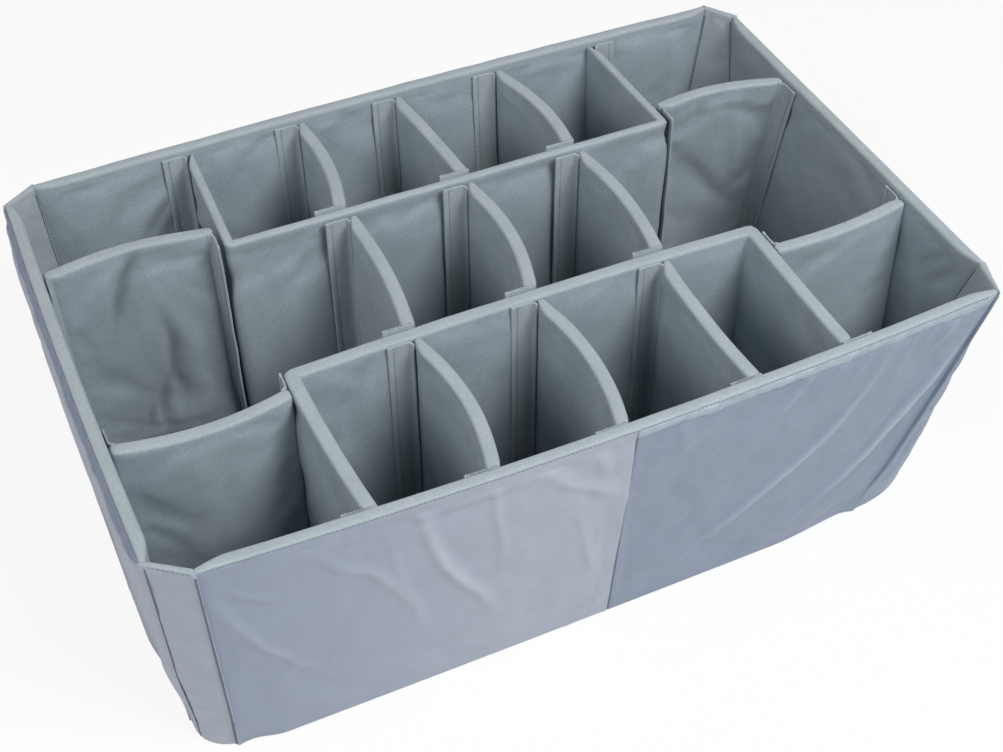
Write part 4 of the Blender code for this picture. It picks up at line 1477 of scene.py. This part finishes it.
@dataclass
class LongDivider:
    """A long divider: one padded strip folded into a panel and two wings, with a flap at each end.

    Attributes:
        name: its body, and the first part of its nodes' names.
        to_back: whether its wings fold towards the back wall.
    """

    name: str
    to_back: bool
    seed: int
    fillet: float = 1.6 * MM
    squareness: float = 4.0
    fan: int = 9
    fold_band: float = 7 * MM

    ARM = 34

    def corner(self, wing: CadPanel, panel: CadPanel, level: int) -> np.ndarray:
        """Return the point, seen from above, where a wing's and the panel's inner faces meet."""
        x = float(panel.ends[level].mean())
        y = 0.0
        for _ in range(6):
            y = float(panel.full_face(level, np.array(x)))
            x = float(wing.full_face(level, np.array(y)))
        return np.array((x, y))

    def lines(self, level: int) -> tuple[np.ndarray, np.ndarray]:
        """Return the inner and the outer side line at a level, from the left wing to the right."""
        inward = 1 if self.to_back else -1
        panel = CadPanel(f"{self.name}_panel", 0, inward)
        thick = panel.thickness
        wings = [CadPanel(f"{self.name}_left_wing", 1, 1), CadPanel(f"{self.name}_right_wing", 1, -1)]
        meets = [self.corner(wing, panel, level) for wing in wings]
        down = np.array((0.0, -float(inward)))
        style = TAPERED if self.to_back else BLUNT
        inner, outer = [], []
        turn = np.linspace(0, np.pi / 2, self.fan)
        bulge = (np.cos(turn) ** self.squareness + np.sin(turn) ** self.squareness) ** (-1 / self.squareness)
        for wing, meet, way in zip(wings, meets, (-1, 1)):
            out = np.array((float(way), 0.0))
            free = wing.ends[level, 1 if self.to_back else 0]
            side = 0 if way < 0 else 1
            share = np.linspace(0, 1, self.ARM)
            y_inner = free[1 - side] + (meet[1] - down[1] * self.fillet - free[1 - side]) * share
            y_outer = free[side] + (meet[1] - free[side]) * share
            drawn = drawn_in(np.abs(y_outer - free[side]), style, PLAIN)
            arm_inner = np.column_stack([wing.full_face(level, y_inner), y_inner])
            arm_outer = np.column_stack([wing.full_face(level, y_outer) + way * (thick - drawn), y_outer])
            middle = meet - self.fillet * (out + down)
            arc = np.outer(np.cos(turn), out) + np.outer(np.sin(turn), down)
            inner.append(np.concatenate([arm_inner, (middle + self.fillet * arc)[1:]]))
            outer.append(np.concatenate([arm_outer, (meet + thick * bulge[:, None] * arc)[1:]]))
        share = np.linspace(0, 1, 130)[1:-1]
        x_inner = inner[0][-1, 0] + (inner[1][-1, 0] - inner[0][-1, 0]) * share
        x_outer = outer[0][-1, 0] + (outer[1][-1, 0] - outer[0][-1, 0]) * share
        long_inner = np.column_stack([x_inner, panel.full_face(level, x_inner)])
        long_outer = np.column_stack([x_outer, panel.full_face(level, x_outer) + down[1] * thick])
        return (np.concatenate([inner[0], long_inner, inner[1][::-1]]),
                np.concatenate([outer[0], long_outer, outer[1][::-1]]))

    def course(self) -> Course:
        """Return the folded strip's course."""
        panel = CadPanel(f"{self.name}_panel", 0, 1 if self.to_back else -1)
        low, high = (np.stack(self.lines(level), axis=1) for level in (0, 1))
        high = extend(low, high, panel.levels, panel.top)
        run = run_of(high.mean(axis=1))
        return Course(run, np.array((panel.levels[0], panel.top)), np.array((low, high)), panel.thickness)

    def build(self) -> None:
        """Make the folded strip and its two flaps."""
        course = self.course()
        creases = []
        for knee in (course.run[self.ARM + self.fan - 2] + self.fold_band,
                     course.run[1 - self.ARM - self.fan] - self.fold_band):
            creases.append(Fold(((knee / MM, -20), (knee / MM, course.height() / MM + 20)), 1.2, -0.8))
        lift = 0.0 if self.to_back else 1.5 * MM
        room = 0.0 if self.to_back else FLAP_ROOM
        pad = SoftPad(f"{self.name}_panel", self.name, course, self.seed, dent=0.8 * MM, furrow=0.35 * MM,
                      creases=tuple(creases), lift=(lift, lift), set_back=(room, room))
        piece = pad.build()
        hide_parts(f"{self.name}_left_wing", f"{self.name}_right_wing")
        style, stands = (TAPERED, (0.0, 0.0)) if self.to_back else (BLUNT, NEAR_STANDS)
        into = (0.0, -1.0) if self.to_back else (0.0, 1.0)
        for side, way in (("left", -1.0), ("right", 1.0)):
            SewnFlap(f"{self.name}_{side}_flap", self.name, into, (way, 0.0), style, stands,
                     0.0 if self.to_back else END_WIDTH).build()


@dataclass
class CrossDivider:
    """A divider across a row, with both flaps turned to the left."""

    name: str
    seed: int
    near_lift: float = 0.0
    dent: float = 0.9 * MM
    furrow: float = 0.5 * MM

    def build(self) -> None:
        """Make the pad and its two flaps."""
        panel = CadPanel(f"{self.name}_pad", 1, 1)
        course = straight_course(panel, (BLUNT, TAPERED), panel.top)
        SoftPad(f"{self.name}_pad", self.name, course, self.seed, self.dent, self.furrow,
                lift=(self.near_lift, 0.0), set_back=(FLAP_ROOM, 0.0)).build()
        SewnFlap(f"{self.name}_near_flap", self.name, (0.0, 1.0), (-1.0, 0.0), BLUNT, NEAR_STANDS,
                 END_WIDTH).build()
        SewnFlap(f"{self.name}_far_flap", self.name, (0.0, -1.0), (-1.0, 0.0), TAPERED).build()


@dataclass
class EndDivider:
    """A divider between an end wall and a wing, with both flaps turned the same way."""

    name: str
    turn: int
    seed: int
    folds: tuple[Fold, ...] = ()
    styles: tuple[EndStyle, EndStyle] = (TAPERED, TAPERED)
    # Patches where the pad's left side is painted darker: painted shade.
    painted_shade: tuple[Fold, ...] = ()
    dent: float = 1.1 * MM
    furrow: float = 0.5 * MM

    def build(self) -> None:
        """Make the pad and its two flaps."""
        panel = CadPanel(f"{self.name}_pad", 0, -self.turn)
        course = straight_course(panel, self.styles, panel.top)
        SoftPad(f"{self.name}_pad", self.name, course, self.seed, self.dent, self.furrow,
                left_folds=self.folds, painted_shade=self.painted_shade).build()
        way = (0.0, float(self.turn))
        SewnFlap(f"{self.name}_left_flap", self.name, (1.0, 0.0), way, self.styles[0]).build()
        SewnFlap(f"{self.name}_right_flap", self.name, (-1.0, 0.0), way, self.styles[1]).build()


# The studio


@dataclass
class Studio:
    """Plain white paper, soft light from above the front, and the camera of the photograph."""

    eye: tuple[float, float, float] = (-0.43974, -0.98968, 1.19052)
    azimuth: float = 24.61
    down: float = 45.67
    roll: float = 0.14
    lens: float = 57.15
    shift: tuple[float, float] = (-0.0021, -0.0010)
    fill_light: float = 0.46
    zenith_light: float = 0.08
    key_power: float = 54.0
    side_power: float = 18.0

    def build(self) -> None:
        """Make the floor, the lights and the camera."""
        self.floor()
        self.world()
        self.softbox("key_softbox", (0.75, -1.45, 2.25), (1.2, 0.9), self.key_power)
        self.softbox("side_softbox", (-1.9, -0.5, 1.7), (1.6, 1.2), self.side_power)
        self.camera()
        bpy.context.scene.view_settings.view_transform = "Standard"

    def floor(self) -> None:
        """Lay the paper."""
        mesh = bpy.data.meshes.new("paper_floor")
        half = 6.0
        mesh.from_pydata([(-half, -half, 0), (half, -half, 0), (half, half, 0), (-half, half, 0)], [],
                         [(0, 1, 2, 3)])
        mesh.materials.append(StudioWhite("white_paper").make())
        paper = bpy.data.objects.new("paper_floor", mesh)
        paper.location.z = -0.5 * MM
        bpy.context.scene.collection.objects.link(paper)

    def world(self) -> None:
        """Set soft light from all round, dimmer overhead, and white where the camera sees past the floor."""
        world = bpy.data.worlds.new("studio")
        world.use_nodes = True
        tree = world.node_tree
        tree.nodes.clear()
        node = partial(add_node, tree)
        rays = node("LightPath").outputs
        seen = node("Math", {0: rays["Is Camera Ray"], 1: rays["Is Glossy Ray"]}, operation="MAXIMUM")
        seen = node("Math", {0: seen, 1: rays["Is Transmission Ray"]}, operation="MAXIMUM")
        height = node("SeparateXYZ", {"Vector": node("TexCoord").outputs["Generated"]}).outputs["Z"]
        level = node("MapRange", {"Value": height, "To Min": self.fill_light, "To Max": self.zenith_light})
        light = node("Background", {"Color": linear(WHITE), "Strength": level})
        white = node("Background", {"Color": linear(WHITE), "Strength": 1.0})
        node("OutputWorld", {"Surface": node("MixShader", {0: seen, 1: light, 2: white})})
        bpy.context.scene.world = world

    def softbox(self, name: str, place: tuple, size: tuple[float, float], power: float) -> None:
        """Hang a soft light that faces the middle of the object."""
        light = bpy.data.lights.new(name, "AREA")
        light.shape = "RECTANGLE"
        light.size, light.size_y = size
        light.energy = power
        lamp = bpy.data.objects.new(name, light)
        lamp.location = place
        lamp.rotation_euler = (Vector((0, 0, 0.15)) - Vector(place)).to_track_quat("-Z", "Y").to_euler()
        bpy.context.scene.collection.objects.link(lamp)

    def camera(self) -> None:
        """Set the camera."""
        azimuth, down, roll = np.radians((self.azimuth, self.down, self.roll))
        forward = np.array((np.sin(azimuth) * np.cos(down), np.cos(azimuth) * np.cos(down), -np.sin(down)))
        level = np.cross(forward, UP)
        level /= np.linalg.norm(level)
        sunk = np.cross(forward, level)
        right = np.cos(roll) * level + np.sin(roll) * sunk
        up = np.sin(roll) * level - np.cos(roll) * sunk
        data = bpy.data.cameras.new("photo_camera")
        data.lens, data.sensor_width = self.lens, 36.0
        data.shift_x, data.shift_y = self.shift
        data.clip_start, data.clip_end = 0.05, 30.0
        seat = Matrix.Identity(4)
        for column, axis in enumerate((right, up, -forward)):
            for row in range(3):
                seat[row][column] = axis[row]
        camera = bpy.data.objects.new("photo_camera", data)
        camera.matrix_world = Matrix.Translation(self.eye) @ seat
        bpy.context.scene.collection.objects.link(camera)
        bpy.context.scene.camera = camera


# The whole set


def folds(*rows: tuple) -> tuple[Fold, ...]:
    """Return folds from rows of a width, a depth and the points along each."""
    return tuple(Fold(tuple(line), width, depth) for width, depth, *line in rows)


FRONT_FOLDS = folds(
    (4.2, 2.9, (3, 222), (22, 172), (42, 132), (66, 98), (92, 66)),
    (4.2, 1.7, (8, 232), (30, 208), (58, 184)),
    (5.1, 2.7, (78, 240), (103, 205), (132, 182), (150, 155), (168, 122), (180, 80)),
    (3.8, 1.7, (140, 232), (153, 168), (166, 132)),
    (6.0, 4.8, (163, 256), (177, 200), (191, 165), (207, 138), (230, 106), (247, 70)),
    (4.2, 2.9, (221, 256), (230, 206), (240, 172), (245, 134)),
    (6.0, 3.3, (255, 254), (290, 212), (320, 194), (352, 168)),
    (5.1, 2.9, (306, 168), (322, 130), (334, 98), (352, 66)),
    (3.4, 1.4, (344, 196), (354, 150), (366, 92), (374, 50)),
    (2.1, 2.1, (374, 32), (366, 20), (356, 8)),
    (2.1, 2.1, (369, 28), (356, 14), (345, 4)),
    (2.1, 1.7, (362, 24), (346, 10), (334, 2)),
    (5.1, 2.1, (304, 252), (318, 222), (324, 200)),
    (3.0, 3.0, (500, 250), (488, 222), (474, 196)),
    (2.5, 2.1, (526, 248), (519, 222), (509, 206)),
    (4.6, 4.2, (574, 246), (571, 212), (565, 183), (553, 153), (530, 123), (500, 93), (470, 64), (442, 46)),
    (3.4, 2.1, (600, 248), (597, 215), (593, 188)),
    (5.2, 4.9, (664, 232), (656, 180), (641, 138), (626, 95), (608, 68), (572, 40)),
    (4.2, 1.8, (377, 250), (386, 222), (396, 202)),
    (3.0, 1.8, (618, 250), (612, 226), (606, 212)),
    (3.4, 2.7, (640, 250), (632, 222), (622, 200)),
    (3.4, 1.8, (556, 250), (548, 222), (542, 204)),
)
FRONT_LEFT_FOLDS = folds(
    (2.6, -0.8, (4, 197), (16, 194), (32, 190)),
    (3, -1.3, (4, 153), (16, 149), (30, 143)),
    (3, -1.9, (4, 113), (16, 110), (29, 104)),
    (2.8, -1.6, (4, 93), (16, 89), (29, 83)),
    (3, -2.1, (4, 78), (16, 75), (28, 69)),
    (2.6, -1.6, (5, 66), (16, 63), (27, 58)),
)
FRONT_RIGHT_FOLDS = folds(
    (17, 7.0, (20, -6), (20, 100), (17, 240)),
)
# Pressed-in folds of the linings; the wall also paints their hollows darker: painted shade.
BACK_LINING_FOLDS = folds(
    (5.0, -1.8, (120, 208), (102, 186), (86, 166)),
    (5.0, -1.6, (133, 198), (116, 176), (104, 158)),
)
RIGHT_LINING_FOLDS = folds(
    (5.0, -1.3, (12, 234), (24, 210), (34, 188)),
    (5.0, -1.1, (30, 238), (42, 216), (52, 194)),
)
BACK_LEFT_END_FOLDS = folds(
    (6.0, 2.3, (57, 240), (50, 205), (45, 160)),
    (6.0, -3.4, (86, 240), (71, 212), (59, 186), (49, 155)),
    (11.0, 4.1, (104, 155), (116, 112), (111, 75), (124, 42)),
    (5.0, -4.1, (95, 160), (99, 120), (95, 78), (101, 48)),
    (4.0, -3.4, (87, 76), (77, 42), (73, 6)),
    (4.0, -2.8, (67, 46), (57, 4)),
    (4.0, 2.3, (89, 48), (86, 8)),
    (32.0, 9.0, (45, 2), (110, 2), (180, 2)),
)
# Broad patches where the pads' left sides are painted darker, low in their cells: painted shade, no
# geometry.
BACK_LEFT_PAINTED_SHADE = folds(
    (42, -3.6, (40, -10), (100, 30), (160, -10)),
    (14, -1.6, (92, 230), (66, 190), (52, 150)),
)
FRONT_LEFT_PAINTED_SHADE = folds(
    (50, -3.0, (-20, 120), (20, 60), (90, 0)),
)
BACK_RIGHT_END_FOLDS = folds(
    (8.0, -2.7, (10, 188), (48, 146), (80, 102), (112, 72)),
    (5.0, 1.5, (83, 234), (86, 202), (105, 120), (116, 92)),
    (6.0, -1.4, (46, 236), (50, 204)),
    (12.0, 1.4, (36, 114), (78, 76)),
)


def build_liner() -> None:
    """Make the walls, corner gussets and floor pad."""
    LinerWall("front_wall", 0, -1, seed=3, step=2.8 * MM, seam_share=0.504, base_shift=0.0617,
              folds=FRONT_FOLDS, foot_tucks=(9 * MM, 7 * MM), foot_reaches=(38 * MM, 130 * MM),
              foot_heights=(38 * MM, 70 * MM), strip_from=0.504, pucker=0.75 * MM, gather=1.3 * MM,
              nylon=(Cloth.NYLON_DRIFTING, Cloth.NYLON_BLUE)).build()
    LinerWall("back_wall", 0, 1, seed=5, lining_folds=BACK_LINING_FOLDS,
              nylon=(Cloth.NYLON_LILAC, Cloth.NYLON_BLUE)).build()
    LinerWall("left_wall", 1, -1, seed=7, foot_tucks=(17.5 * MM, 12 * MM), bag=6 * MM,
              binding=Cloth.BINDING_DARK).build()
    LinerWall("right_wall", 1, 1, seed=9, lining_folds=RIGHT_LINING_FOLDS,
              nylon=(Cloth.NYLON_BLUE, Cloth.NYLON_BLUE)).build()
    CornerGusset("front_left", -1, -1, 20, folds=FRONT_LEFT_FOLDS, side_seam=(31 * MM, 42 * MM),
                 foot_tucks=(8 * MM, 11 * MM)).build()
    CornerGusset("back_left", -1, 1, 21, foot_tucks=(0.0, 9 * MM)).build()
    CornerGusset("back_right", 1, 1, 22, nylon=Cloth.NYLON_BLUE).build()
    CornerGusset("front_right", 1, -1, 23, nylon=Cloth.NYLON_BLUE, folds=FRONT_RIGHT_FOLDS,
                 foot_tucks=(7 * MM, 0.0), cords=(0.0, 0.8 * MM)).build()
    FloorPad().build()


def build_dividers() -> None:
    """Make the two long, nine cross and four end dividers."""
    LongDivider("back_long", True, seed=31).build()
    LongDivider("front_long", False, seed=33).build()
    for row_number, row in enumerate(("back", "middle", "front")):
        for place in (1, 2, 3):
            CrossDivider(f"{row}_cross_{place}", 40 + 3 * row_number + place,
                         near_lift=1.5 * MM if row == "front" else 0.0).build()
    EndDivider("end_back_left", -1, 60, BACK_LEFT_END_FOLDS, (SOFT_TAPER, SOFT_TAPER),
               BACK_LEFT_PAINTED_SHADE).build()
    EndDivider("end_back_right", -1, 61, BACK_RIGHT_END_FOLDS, (SOFT_TAPER, SOFT_TAPER)).build()
    EndDivider("end_front_left", 1, 62, (), (BLUNT, BLUNT), FRONT_LEFT_PAINTED_SHADE).build()
    EndDivider("end_front_right", 1, 63, (), (BLUNT, SOFT_TAPER)).build()


def main() -> None:
    """Build the divider set in its studio."""
    logging.basicConfig(level=logging.INFO, format="%(message)s")
    Studio().build()
    build_liner()
    build_dividers()


if __name__ == "__main__":
    main()
